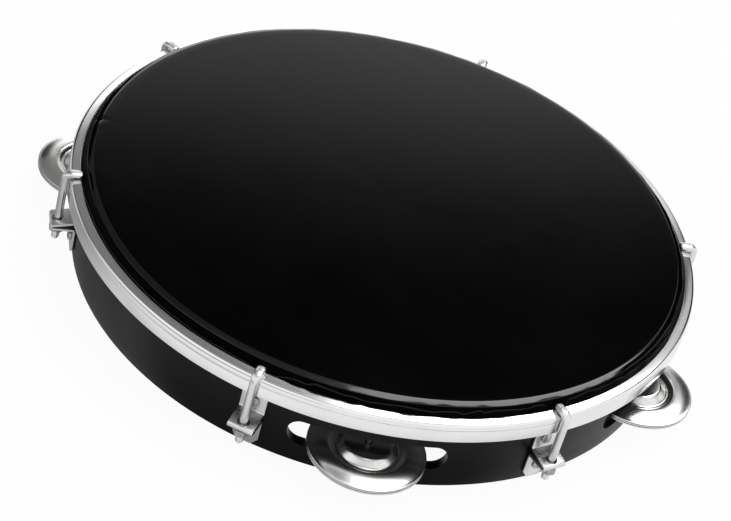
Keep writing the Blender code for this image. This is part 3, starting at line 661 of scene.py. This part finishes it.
def buildHead(size):
    turns = np.arange(size["columns"]) * 2.0 * math.pi / size["columns"]
    degrees = np.degrees(turns)
    half, collar, face = size["half"], size["collar"], [(radius, -size["half"]) for radius in size["face"]]
    bend = roundedLine([(*face[-1], 0), (size["bevelStart"], -half, 4.5),
                        (size["bevelEnd"], size["bevelLevel"], 1.1), (collar, -4.0, 3.0), (collar, -6.2, 0)],
                       6, closed=False)[1:]
    loop = arcPoints((size["wireRadius"], size["wireLevel"]), size["loop"], math.pi, 2.5 * math.pi, 15)
    path = face + bend + loop + list(size["root"])
    radius, level = (np.array(line)[:, None] + np.zeros(len(turns)) for line in zip(*path))

    # The bend wanders a little, and one small nick marks it at the left
    wander = waves(turns, size["wander"])
    lower = bell(radius, 152.1, 0.9) * (level > size["bendFoot"])
    radius += wander * lower
    level += 0.5 * wander * lower
    notch = bell(degrees, size["nick"], 0.7) - 0.55 * bell(degrees, size["nick"] + 1.9, 1.0)
    inward = bell(radius - size["bevelStart"], 0.6, 1.5) * (level > size["bendFoot"])
    radius -= 0.6 * notch * inward
    level -= 0.08 * np.maximum(notch, 0.0) * inward
    tension = (radius < 148.0) * (waves(turns, [(0.006, 3, 0.4)]) * np.sin(radius / 30.0)
                                  + waves(turns, [(0.004, 7, 0.0)]) * np.sin(radius / 17.0))
    level += tension - 0.01

    # The tuck stands up between the collar and the hoop's lip, and ends in the trimmed edge
    edge, lean = trimmedEdge(turns, size)
    rumple, start, shares = waves(turns, size["rumple"]), size["tuckStart"], size["tuckShares"]
    radius = np.vstack([radius, [size["tuck"] - lean * share ** 1.6 + rumple * share * (1.0 - 0.4 * share)
                                 for share in shares]])
    level = np.vstack([level, [start + (edge - start) * share for share in shares]])
    rows = len(radius)
    slope = np.stack([np.gradient(radius, axis=0), np.gradient(level, axis=0)])
    slope[:, 0:len(face) - 1, :] = np.array([1.0, 0.0])[:, None, None]
    slope /= np.hypot(slope[0], slope[1])
    thin = np.full((rows, 1), half)
    thin[-3:, 0] = [half * share for share in size["worn"]]
    allRadius = np.vstack([radius - slope[1] * thin, (radius + slope[1] * thin)[::-1]]) * mm
    allLevel = np.vstack([level + slope[0] * thin, (level - slope[0] * thin)[::-1]]) * mm
    allRadius[0] = allRadius[-1] = 0.0
    points = np.stack([allRadius * np.cos(turns), allRadius * np.sin(turns), allLevel], axis=2)
    mesh = plainMesh("headSheet", points.reshape(-1, 3).tolist(), rowFaces(len(allRadius), len(turns)))
    trim = np.zeros(allRadius.shape, np.float32)
    trim[rows - 2:rows + 2] = 0.15
    trim[rows - 1:rows + 1] = 1.0
    mesh.attributes.new("trim", "FLOAT", "POINT").data.foreach_set("value", trim.ravel())
    for finish in (headCloth, headBack, headTuckPaintedShade):
        mesh.materials.append(finish)
    edgeRow = next(k for k, (r, _) in enumerate(path) if r > size["bevelEnd"] - 0.15)
    for polygon in mesh.polygons:          # the face, dull cloth darkened as painted shade from the bevel's foot outwards, the back
        row = min(polygon.vertices) // len(turns)
        polygon.material_index = 0 if row < edgeRow else (1 if row > 2 * rows - edgeRow - 2 else 2)
    return settled(mesh, 48.0)


def buildWire(size):
    section = arcPoints((size["wireRadius"], size["wireLevel"]), size["wire"], 0.0, 2.0 * math.pi, 14)[:-1]
    return turned("fleshWire", section, 240, hoopWire, sharpAngle=60.0)


show("headSheet", buildHead(headSizes), "drum", "head_fabric", "head")
show("fleshWire", buildWire(headSizes), "drum", "wire_steel", "flesh_hoop")
print("head built")


# ---- tension hoop: lip, flange, rolled shoulder, groove, bead and plain band, spun by the tree

hoopSizes = {"facets": 480, "lip": 154.65, "inner": 158.6, "outer": 160.0, "top": -4.9, "under": -6.3,
             "foot": -15.6, "roll": 3.3, "groove": 0.1}


def hoopSection(size):
    lip, inner, outer, deep = size["lip"], size["inner"], size["outer"], size["outer"] - size["groove"]
    top, under, foot = size["top"], size["under"], size["foot"]
    return roundedLine([(lip, top - 0.1, 0.15), (lip + 0.5, top, 0.3), (outer, top - 0.55, size["roll"]),
                        (outer, top - 3.65, 0.3), (deep, top - 3.95, 0.5), (deep, top - 4.25, 0.5),
                        (outer, top - 4.7, 0.6), (outer, foot + 0.25, 0.25), (outer - 0.3, foot, 0.25),
                        (inner + 0.25, foot, 0.2), (inner, foot + 0.3, 0.25), (inner, under - 0.75, 0.6),
                        (inner - 0.9, under, 0.5), (lip + 0.3, under, 0.25), (lip, under + 0.35, 0.25)], 6)


hoop = turned("tensionHoop", hoopSection(hoopSizes), hoopSizes["facets"], hoopChrome, sharpAngle=50.0)
show("tensionHoop", hoop, "hoop", "hoop_chrome", "tension_hoop")
print("tension hoop built")


# ---- hooks: a threaded rod that bends over the hoop and ends in a flattened claw

hookSizes = {"sides": 28, "axis": 162.3, "rod": 2.0, "foot": -42.9, "threadTop": -31.0, "pitch": 0.7,
             "thread": 0.24, "ringsPerTurn": 6.0, "bend": 3.3, "bendSteps": 12, "clawLevel": -3.3,
             "clawTip": 154.1, "clawHalfWidth": 2.5, "clawHalfThickness": 1.3, "clawDrop": 0.12, "square": 0.22,
             "start": ((0.0, 0.28), (0.03, 0.5), (0.14, 0.64), (0.36, 0.76), (0.62, 0.86)), "threadFoot": 0.9,
             "plain": (-30.4, -27.0, -23.0, -19.0, -15.0, -11.0, -8.4),
             "claw": ((0.25, 1.0), (0.5, 1.0), (0.68, 0.985), (0.8, 0.94), (0.89, 0.85), (0.955, 0.7), (0.99, 0.5),
                      (1.0, 0.25))}


def buildHook(size):
    around = [2.0 * math.pi * k / size["sides"] for k in range(size["sides"])]
    axis, rod, bend, clawLevel = size["axis"], size["rod"], size["bend"], size["clawLevel"]
    wide, thick = size["clawHalfWidth"], size["clawHalfThickness"]

    def threaded(level, share):
        line = []
        for angle in around:
            phase = (level / size["pitch"] - angle / (2.0 * math.pi)) % 1.0
            radius = (rod - size["thread"] * (1.0 - abs(2.0 * phase - 1.0) ** 0.8)) * share
            line.append((axis + radius * math.cos(angle), radius * math.sin(angle), level))
        return line

    def oval(centre, angle, halfWidth, halfThickness, square):
        line = []
        for a in around:
            c, s = (math.copysign(abs(share) ** square, share) for share in (math.cos(a), math.sin(a)))
            line.append((centre[0] + math.cos(angle) * halfThickness * c, halfWidth * s,
                         centre[1] + math.sin(angle) * halfThickness * c))
        return line

    sections = [threaded(size["foot"] + rise, share) for rise, share in size["start"]]
    level = size["foot"] + size["threadFoot"]
    while level < size["threadTop"]:
        sections.append(threaded(level, min(1.0, 0.93 + (level - size["foot"]) / 40.0)))
        level += size["pitch"] / size["ringsPerTurn"]
    sections += [oval((axis, level), 0.0, rod, rod, 1.0) for level in size["plain"]]
    centre = (axis - bend, clawLevel - bend)
    for k in range(size["bendSteps"] + 1):
        share = k / size["bendSteps"]
        angle = share * math.pi / 2.0
        grow = share * share * (3.0 - 2.0 * share)
        sections.append(oval((centre[0] + bend * math.cos(angle), centre[1] + bend * math.sin(angle)), angle,
                             rod + (wide - rod) * grow, rod + (thick - rod) * grow, 1.0 - size["square"] * grow))
    length = centre[0] - size["clawTip"]
    for along, share in size["claw"]:
        sections.append(oval((centre[0] - length * along, clawLevel - size["clawDrop"] * along), math.pi / 2.0,
                             wide * share, thick * (0.25 + 0.75 * share) * 0.98,
                             1.0 - size["square"] + 0.1 * along))
    return barFrom("hook", sections, hookPlate, 40.0)


showRing("hooks", "hoop", "hook_steel", "hook", buildHook(hookSizes), hookPlate, hookTurns, sharpAngle=40.0)
print("hooks built")


# ---- brackets: one folded strip each, riveted above its shelf and screwed down below it

bracketSizes = {"sheet": 1.2, "halfWidth": 6.4, "tab": 153.9, "lip": 165.6, "shelf": -34.0, "hem": 0.95,
                "wedge": 2.0, "bend": 1.3, "top": -16.9, "foot": -48.3, "topCut": 2.0, "footCut": 4.0,
                "cutSlope": 0.775, "tabStep": 2.5, "footStep": 4.0, "end": 0.6, "edge": 0.22, "endInset": 0.6,
                "rodHole": 2.9, "holeLevel": -31.0, "holeDepth": 14.0}


def buildBracket(size):
    sheet, tab, bend, hem, edge = size["sheet"], size["tab"], size["bend"], size["hem"], size["edge"]
    top, foot, end = size["top"], size["foot"], size["end"]
    lower = size["shelf"] + sheet / 2.0
    fold = (size["lip"] - hem, lower + hem)
    front = lower + 2.0 * hem
    slope = math.atan2(size["wedge"], fold[0] - tab - bend)
    path = [(tab, top), (tab, top - end)] + [(tab, top - size["topCut"] - size["tabStep"] * k) for k in range(4)]
    path += arcPoints((tab + bend, front + size["wedge"] + bend), bend, math.pi, 1.5 * math.pi - slope, 7)
    path += arcPoints(fold, hem, math.pi / 2.0 - slope, -math.pi / 2.0, 12)
    path += arcPoints((tab + bend, lower - bend), bend, math.pi / 2.0, math.pi, 7)
    path += [(tab, foot + size["footCut"] + size["footStep"]), (tab, foot + size["footCut"]), (tab, foot + end),
             (tab, foot)]
    path = [Vector(point) for point in path]
    lengths = [0.0]
    for before, after in zip(path, path[1:]):
        lengths.append(lengths[-1] + (after - before).length)
    sections = []
    for k, here in enumerate(path):
        before = (here - path[k - 1]).normalized() if k else (path[1] - here).normalized()
        after = (path[k + 1] - here).normalized() if k < len(path) - 1 else before
        along = (before + after).normalized()
        across = Vector((-along.y, along.x)) / max(0.5, along.dot(after))
        reach = size["halfWidth"] - max(0.0, size["topCut"] - lengths[k]) * size["cutSlope"]
        reach -= max(0.0, size["footCut"] - (lengths[-1] - lengths[k])) * size["cutSlope"]
        inset = edge * size["endInset"] if k in (0, len(path) - 1) else 0.0
        half = sheet / 2.0 - inset
        line = []
        for side, up in ((1, 1), (-1, 1), (-1, -1), (1, -1)):
            for turn in (0.0, 45.0, 90.0) if side * up > 0 else (90.0, 45.0, 0.0):
                sideways = reach - inset - edge + edge * math.cos(math.radians(turn))
                spot = here + across * (up * (half - edge * 0.999 + edge * math.sin(math.radians(turn))))
                line.append((spot.x, side * sideways, spot.y))
        sections.append(line)
    hole = cylinders("rodHole", [(hookSizes["axis"] * mm, 0.0, size["holeLevel"] * mm)], size["rodHole"] * mm,
                     size["holeDepth"] * mm, 40)
    return carved(barFrom("bracket", sections, hookPlate, 38.0), hole, 38.0)


showRing("brackets", "drum", "hook_steel", "bracket", buildBracket(bracketSizes), hookPlate, hookTurns,
         sharpAngle=38.0)
print("brackets built")


# ---- nuts, screws, rivets and pins

nutSizes = {"acrossFlats": 7.0, "height": 3.2, "bore": 2.02, "level": -37.5, "columns": 72, "crown": 0.95,
            "chamfer": 28.0, "rim": 0.35, "sink": 0.4}
innerNutSizes = {**nutSizes, "acrossFlats": 5.5, "height": 2.4, "bore": 1.52, "seat": 146.48}


# A hexagon nut from level zero up, with its corners turned off at both ends
def buildNut(name, size, finish):
    columns, flat, height, bore = size["columns"], size["acrossFlats"] / 2.0, size["height"], size["bore"]
    turns = [2.0 * math.pi * k / columns for k in range(columns)]
    hexagon = [flat / math.cos((turn + math.pi / 6.0) % (math.pi / 3.0) - math.pi / 6.0) for turn in turns]
    crown = flat * size["crown"]
    drop = [max(0.0, (radius - crown) * math.tan(math.radians(size["chamfer"]))) for radius in hexagon]
    rows = [[(bore, size["sink"])] * columns, [(bore + size["rim"], 0.0)] * columns, [(crown, 0.0)] * columns,
            list(zip(hexagon, drop)), [(radius, height - fall) for radius, fall in zip(hexagon, drop)],
            [(crown, height)] * columns, [(bore + size["rim"], height)] * columns,
            [(bore, height - size["sink"])] * columns]
    points = [(radius * mm * math.cos(turn), radius * mm * math.sin(turn), level * mm)
              for row in rows for turn, (radius, level) in zip(turns, row)]
    return meshFrom(name, points, rowFaces(len(rows), columns, closedAlong=True), finish, 22.0)


for number, turn in enumerate(hookTurns, start=1):
    done = placed("tensionNut", buildNut("nut", nutSizes, nutPlate), nutPlate, [turn], hookSizes["axis"],
                  nutSizes["level"], 22.0, spin=0.5, seed=number)
    show(f"tensionNut{number}", done, f"nut_{number}", "hook_steel", f"tension_nut_{number}")


# Turns a piece made along +Z so that it lies along the station's outward direction, +X, or inwards
def laid(mesh, sense=1.0):
    mesh.transform(Matrix.Rotation(sense * math.pi / 2.0, 4, "Y"))
    return mesh


screwSizes = {"level": -40.6, "seat": 154.8, "head": 2.7, "height": 1.7, "shank": 1.5, "inside": 142.8,
              "tip": 1.1, "recess": 0.42, "recessReach": 1.55, "recessDepth": 0.95, "recessTaper": 0.45, "above": 0.3}


def buildScrew(size):
    seat, top, inside = size["seat"], size["seat"] + size["height"], size["inside"]
    shank, head = size["shank"], size["head"]
    section = roundedLine([(0.0, inside, 0), (size["tip"], inside, 0.1), (shank, inside + 0.5, 0.1),
                           (shank, seat, 0), (head, seat, 0.12), (head, seat + 0.55, 0.35),
                           (2.25, top - 0.42, 0.9), (1.3, top - 0.06, 1.6), (0.0, top, 0)], 3, closed=False)
    mesh = turned("screw", section, 40, nutPlate, closed=False, sharpAngle=38.0)
    for turn in (0.0, math.pi / 2.0):
        slot = bpy.data.meshes.new("slot")
        bm = bmesh.new()
        for vert in bmesh.ops.create_cube(bm, size=1.0)["verts"]:
            taper = 2.0 * (1.0 if vert.co.z > 0 else size["recessTaper"])
            deep = (0.5 - vert.co.z) * (size["recessDepth"] + size["above"])
            vert.co = Vector((vert.co.x * size["recessReach"] * taper, vert.co.y * size["recess"] * taper,
                              top + size["above"] - deep)) * mm
            vert.co.rotate(Matrix.Rotation(turn, 3, "Z"))
        bm.to_mesh(slot)
        bm.free()
        mesh = carved(mesh, slot, 38.0)
    return laid(mesh)


outwards = (1.0, 0.0, 0.0)
showRing("bracketScrews", "drum", "hook_steel", "bracket_screw", buildScrew(screwSizes), nutPlate, hookTurns, 0.0,
         screwSizes["level"], 38.0, outwards, spin=0.7, seed=5)

rivetSizes = {"level": -23.7, "seat": 154.8, "head": 2.9, "height": 1.4, "shank": 1.5, "inside": 146.5,
              "tail": 2.6}


def buildRivet(size):
    seat, top, inside, tail = size["seat"], size["seat"] + size["height"], size["inside"], size["tail"]
    shank, head = size["shank"], size["head"]
    section = roundedLine([(0.0, inside - 1.1, 0), (1.0, inside - 1.0, 0.6), (2.1, inside - 0.75, 0.5),
                           (tail, inside - 0.15, 0.2), (tail, inside, 0), (shank, inside, 0), (shank, seat, 0),
                           (head, seat, 0.1), (head, seat + 0.35, 0.25), (2.2, top - 0.42, 0.8),
                           (1.0, top - 0.03, 1.0), (0.0, top, 0)], 3, closed=False)
    return laid(turned("rivet", section, 36, fastenerSteel, closed=False))


showRing("bracketRivets", "drum", "fastener_steel", "bracket_rivet", buildRivet(rivetSizes), fastenerSteel,
         hookTurns, 0.0, rivetSizes["level"], axis=outwards, spin=1.5, seed=8)

innerNut = laid(buildNut("innerNut", innerNutSizes, fastenerSteel), -1.0)
showRing("screwNuts", "drum", "fastener_steel", "screw_nut", innerNut, fastenerSteel, hookTurns,
         innerNutSizes["seat"], screwSizes["level"], 22.0, outwards, spin=0.5, seed=3)

pinSizes = {"radius": 1.25, "foot": -49.4, "top": -17.9, "round": 0.3, "axis": 150.0}


def buildPin(size):
    radius, foot, top, rounding = size["radius"], size["foot"], size["top"], size["round"]
    section = roundedLine([(0.0, foot, 0), (radius, foot, rounding), (radius, top, rounding), (0.0, top, 0)], 3,
                          closed=False)
    return turned("pin", section, 28, pinSteel, closed=False)


showRing("jinglePins", "drum", "fastener_steel", "jingle_pin", buildPin(pinSizes), pinSteel, jingleTurns,
         pinSizes["axis"])
print("fasteners built")


# ---- jingles: a pressed cup mouth up, a plain disc and a pressed cup mouth down on each pin

jingleSizes = {"facets": 144, "radius": 28.12, "sheet": 0.7, "rim": 0.32, "bore": 1.85, "discRadius": 27.92,
               "discSheet": 0.6, "step": 0.01, "spots": 76,
               "shape": ((1.85, 4.02, 0.5), (2.3, 4.1, 0.5), (11.2, 4.0, 0.9), (15.0, 1.0, 0.8),
                         (16.1, 0.95, 0.8), (18.2, 2.5, 1.5), (23.0, 2.1, 2.4), (27.1, 0.75, 0.7), (27.8, 0.7, 0)),
               "lowerLevel": -35.2, "discLevel": -34.9, "upperLevel": -34.0}


# The cup's upper face: straight flanks between its pressed rings, with an easy turn at each corner
def cupTop(size):
    radii, levels, _ = (np.array(column) for column in zip(*size["shape"]))
    across = np.arange(radii[0], radii[-1] + size["step"], size["step"])
    height = np.interp(across, radii, levels)
    for radius, _, reach in size["shape"][1:-1]:
        span = (across > radius - reach) & (across < radius + reach)
        start, end = across[span][0], across[span][-1]
        share = (across[span] - start) / (end - start)
        first, last = np.interp((start, end), across, height)
        middle = np.interp(radius, radii, levels)
        height[span] = (1 - share) ** 2 * first + 2 * share * (1 - share) * middle + share ** 2 * last
    spots = np.linspace(radii[0], radii[-1], size["spots"])
    return list(zip(spots, np.interp(spots, across, height)))


def buildCup(size, flipped):
    sheet, radius, rim, top = size["sheet"], size["radius"], size["rim"], cupTop(size)
    section = top + arcPoints((radius - rim, sheet - rim), rim, math.pi / 2.0, -math.pi / 2.0, 6)[0:4]
    section += [(radius - 0.03, 0.2), (radius - 0.2, 0.02)] + [(r, z - sheet) for r, z in reversed(top)]
    mesh = planMap(turned("cup", section, size["facets"], jingleNickel, sharpAngle=50.0))
    if flipped:
        mesh.transform(Matrix.Rotation(math.pi, 4, "X"))
    return mesh


def buildDisc(size):
    bore, radius, sheet = size["bore"], size["discRadius"], size["discSheet"]
    section = roundedLine([(bore, 0.0, 0.1), (radius, 0.0, 0.15), (radius, sheet, 0.15), (bore, sheet, 0.1)], 3)
    return planMap(turned("disc", section, size["facets"], jingleNickel))


for number, turn in enumerate(jingleTurns, start=1):
    for name, node, mesh, level, body in (
            ("jingleLower", "jingle_lower", buildCup(jingleSizes, True), "lowerLevel", "lower_cup"),
            ("jingleDisc", "jingle_disc", buildDisc(jingleSizes), "discLevel", "middle_disc"),
            ("jingleUpper", "jingle_upper", buildCup(jingleSizes, False), "upperLevel", "upper_cup")):
        done = placed(name, mesh, jingleNickel, [turn], pinSizes["axis"], jingleSizes[level], 50.0)
        show(f"{name}{number}", done, f"{body}_{number}", "jingle_nickel", f"{node}_{number}")
print("jingles built")


# ---- stage: pale floor, the room that lights it, and the camera

# Each painted shadow spot is a place, where it starts and ends, and how bright its middle is
floorSizes = {"half": 4.0, "drop": 0.0002, "tones": ((0.87, 0.87, 0.87), (0.89, 0.89, 0.89)), "fibre": 300.0,
              "rough": 0.9, "gloss": 0.1, "bright": 0.95,
              "spots": (((-0.24, 0.02), 0.07, 0.23, 0.30), ((0.0, 0.22), 0.08, 0.17, 0.70),
                        ((-0.36, -0.44), 0.28, 0.36, 0.35)),
              "ring": (0.165, 0.205, 0.30), "ringBack": (-0.155, -0.115)}


def buildFloor(size):
    level = cadBox[0].z - size["drop"]
    mesh = plainMesh("floor", [(size["half"] * x, size["half"] * y, level)
                               for x, y in ((-1, -1), (1, -1), (1, 1), (-1, 1))], [(0, 1, 2, 3)])
    finish, tree, shader, where = newFinish("floorPaper")
    feed(tree, shader, {"Base Color": blendColour(tree, noise(tree, where, size["fibre"]), *size["tones"]),
                        "Roughness": size["rough"], "Specular IOR Level": size["gloss"]})
    path = addNode(tree, "ShaderNodeLightPath").outputs
    seen = chain(tree, "MAXIMUM", path["Is Camera Ray"], path["Is Glossy Ray"], path["Is Transmission Ray"])
    flat = addNode(tree, "ShaderNodeVectorMath", {0: where, 1: (1.0, 1.0, 0.0)}, operation="MULTIPLY").outputs[0]

    def apart(spot):
        away = addNode(tree, "ShaderNodeVectorMath", {0: flat, 1: (*spot, 0.0)}, operation="DISTANCE")
        return away.outputs["Value"]

    # Painted shadow, seen only in reflections: the paper greys at the left, behind the drum, far off at the front
    # left and close in front
    paintedShadows = [fade(tree, apart(spot), near, far, low) for spot, near, far, low in size["spots"]]
    y = addNode(tree, "ShaderNodeSeparateXYZ", {0: where}).outputs["Y"]
    # A painted shadow ring close round the front of the drum, seen only in reflections
    close = calc(tree, "MAXIMUM", fade(tree, apart((0.0, 0.0)), *size["ring"]), fade(tree, y, *size["ringBack"]))
    pale = calc(tree, "MAXIMUM", times(tree, *paintedShadows, close, size["bright"]), path["Is Camera Ray"])
    glow = addNode(tree, "ShaderNodeEmission", {"Color": (1.0, 1.0, 1.0, 1.0), "Strength": pale})
    mix = addNode(tree, "ShaderNodeMixShader", {0: times(tree, seen, size["bright"]), 1: shader.outputs[0],
                                                2: glow.outputs[0]})
    feed(tree, tree.nodes["Material Output"], {"Surface": mix.outputs[0]})
    mesh.materials.append(finish)
    floor = linked("floor", mesh)


# The room, by direction: a bright wall low at the back, a soft box high at the back right, a pale room in front
# and a dim ceiling; for the camera it is plain white. Turns are in degrees from the back, clockwise
room = {"wallMiddle": -2.0, "wallSides": (16.5, 21.5), "wallSpread": (0.36, 0.50, 0.0, 2.5),
        "wallTip": (0.85, 0.12), "wallLevels": (0.47, 0.61), "wallPower": 1.5,
        "wallTones": (-16.0, -4.0, 1.8, 0.9),
        "box": 5.0, "boxLeft": (0.012, 0.05), "boxRight": (0.69, 0.75), "boxSlopes": (-0.45, -1.1),
        "boxSlant": (-0.05, 0.03), "boxSteep": (-0.42, -0.32), "boxTip": -0.12, "boxHang": (0.26, -2.0),
        "boxFoot": (0.93, 0.99), "boxTone": 0.89, "boxFaint": 0.11, "boxRise": (0.3, 0.4),
        "front": 1.05, "frontMiddle": -8.0, "frontSides": (60.0, 90.0), "frontRight": (38.0, 56.0),
        "frontLow": (0.40, 0.50), "frontTop": (0.86, 0.94), "dusk": 0.35, "duskMiddle": -140.0,
        "duskSides": (40.0, 55.0), "duskTop": (0.10, 0.20),
        "ceiling": 0.20, "zenith": 0.38, "ceilingFoot": (0.67, 0.79), "zenithFoot": (0.88, 0.97),
        "leftFoot": (0.53, 0.60), "leftSide": (-0.22, -0.16), "rightTones": (-0.12, -0.03, 1.0, 1.5),
        "overhead": 1.2, "overheadFoot": (0.970, 0.982), "overheadSide": (-0.02, 0.08),
        "corner": 0.22, "cornerTurns": ((-42.0, -36.0), (-20.0, -14.0)),
        "cornerLevels": ((0.49, 0.53), (0.60, 0.65)),
        "side": 0.55, "sideTurns": ((-85.0, -65.0), (-46.0, -38.0)), "sideTop": (0.36, 0.50)}


def buildRoom(size):
    world = bpy.data.worlds.new("room")
    bpy.context.scene.world = world
    world.use_nodes = True
    tree = world.node_tree
    direction = addNode(tree, "ShaderNodeTexCoord").outputs["Generated"]
    x, y, z = addNode(tree, "ShaderNodeSeparateXYZ", {0: direction}).outputs
    turn = times(tree, calc(tree, "ARCTAN2", x, y), 180.0 / math.pi)

    def rise(value, border):
        return fade(tree, value, *border)

    def drop(value, border):
        return fade(tree, value, *border, 1.0, 0.0)

    def sloped(value, slope, base):
        return calc(tree, "MULTIPLY_ADD", value, slope, base)

    def awayFrom(middle):
        return calc(tree, "ABSOLUTE", calc(tree, "ADD", turn, -middle))

    # Wall: brighter to the left, where its top also stands higher
    offset = calc(tree, "SUBTRACT", awayFrom(size["wallMiddle"]), fade(tree, z, *size["wallSpread"]))
    tipped = sloped(x, sloped(x, *size["wallTip"]), z)
    wall = times(tree, drop(offset, size["wallSides"]),
                 calc(tree, "POWER", drop(tipped, size["wallLevels"]), size["wallPower"]),
                 fade(tree, turn, *size["wallTones"]))

    # Soft box: a slanted shape on a level plane at height one, with a faint part that hangs lower at the right
    height = calc(tree, "MAXIMUM", z, 0.2)
    u, v = calc(tree, "DIVIDE", x, height), calc(tree, "DIVIDE", y, height)
    bottom = sloped(u, size["boxTip"], v)
    beyond = calc(tree, "MAXIMUM", calc(tree, "SUBTRACT", u, size["boxHang"][0]), 0.0)
    hanging = sloped(beyond, size["boxHang"][1], bottom)
    foot = sloped(drop(hanging, size["boxFoot"]), size["boxFaint"],
                  fade(tree, bottom, *size["boxFoot"], size["boxTone"], 0.0))
    box = times(tree, size["box"], rise(u, size["boxLeft"]), drop(u, size["boxRight"]),
                rise(sloped(u, size["boxSlopes"][0], v), size["boxSlant"]),
                rise(sloped(u, size["boxSlopes"][1], v), size["boxSteep"]), foot, rise(z, size["boxRise"]))

    # Front: starts further round at the right where it is low, and its far floor at the left is darker
    around = calc(tree, "MAXIMUM", rise(awayFrom(size["frontMiddle"]), size["frontSides"]),
                  times(tree, rise(turn, size["frontRight"]), drop(z, size["frontLow"])))
    dusk = times(tree, drop(awayFrom(size["duskMiddle"]), size["duskSides"]), drop(z, size["duskTop"]))
    front = times(tree, size["front"], around, drop(z, size["frontTop"]), sloped(dusk, size["dusk"] - 1.0, 1.0))

    # Ceiling: dim, brighter towards the zenith and to the right, and bright straight overhead
    ceiling = calc(tree, "ADD", fade(tree, z, *size["ceilingFoot"], 0.0, size["ceiling"]),
                   fade(tree, z, *size["zenithFoot"], 0.0, size["zenith"] - size["ceiling"]))
    ceiling = calc(tree, "MAXIMUM", ceiling, times(tree, size["ceiling"], rise(z, size["leftFoot"]),
                                                   drop(x, size["leftSide"])))
    ceiling = calc(tree, "ADD", times(tree, ceiling, fade(tree, x, *size["rightTones"])),
                   times(tree, fade(tree, z, *size["overheadFoot"], 0.0, size["overhead"]),
                         rise(x, size["overheadSide"])))

    def patch(name, levels):
        left, right = size[name + "Turns"]
        return times(tree, size[name], rise(turn, left), drop(turn, right), *levels)

    corner = patch("corner", (rise(z, size["cornerLevels"][0]), drop(z, size["cornerLevels"][1])))
    side = patch("side", (drop(z, size["sideTop"]),))
    light = chain(tree, "MAXIMUM", ceiling, wall, box, front, corner, side)
    seen = addNode(tree, "ShaderNodeLightPath").outputs["Is Camera Ray"]
    feed(tree, tree.nodes["Background"], {"Strength": calc(tree, "MAXIMUM", seen, light),
                                          "Color": (1.0, 1.0, 1.0, 1.0)})


cameraSizes = {"lens": 108.345, "sensor": 36.0, "place": (-0.003413, -0.904222, 0.628792),
               "right": (0.9605392541512141, 0.1657096190970649, 0.22339351685609643),
               "down": (0.2781444610892501, -0.5722587223554394, -0.7714632936527122),
               "ahead": (0.0, 0.8031564460469864, -0.5957681790538785)}


def buildCamera(size):
    data = bpy.data.cameras.new("camera")
    data.lens = size["lens"]
    data.sensor_width = size["sensor"]
    camera = linked("camera", data)
    right, down, ahead = (Vector(size[key]) for key in ("right", "down", "ahead"))
    camera.matrix_world = (Matrix.Translation(size["place"])
                           @ Matrix((right, -down, -ahead)).transposed().to_4x4())
    bpy.context.scene.camera = camera


buildFloor(floorSizes)
buildRoom(room)
buildCamera(cameraSizes)
view = bpy.context.scene.view_settings
view.view_transform = "Standard"
print("stage ready")
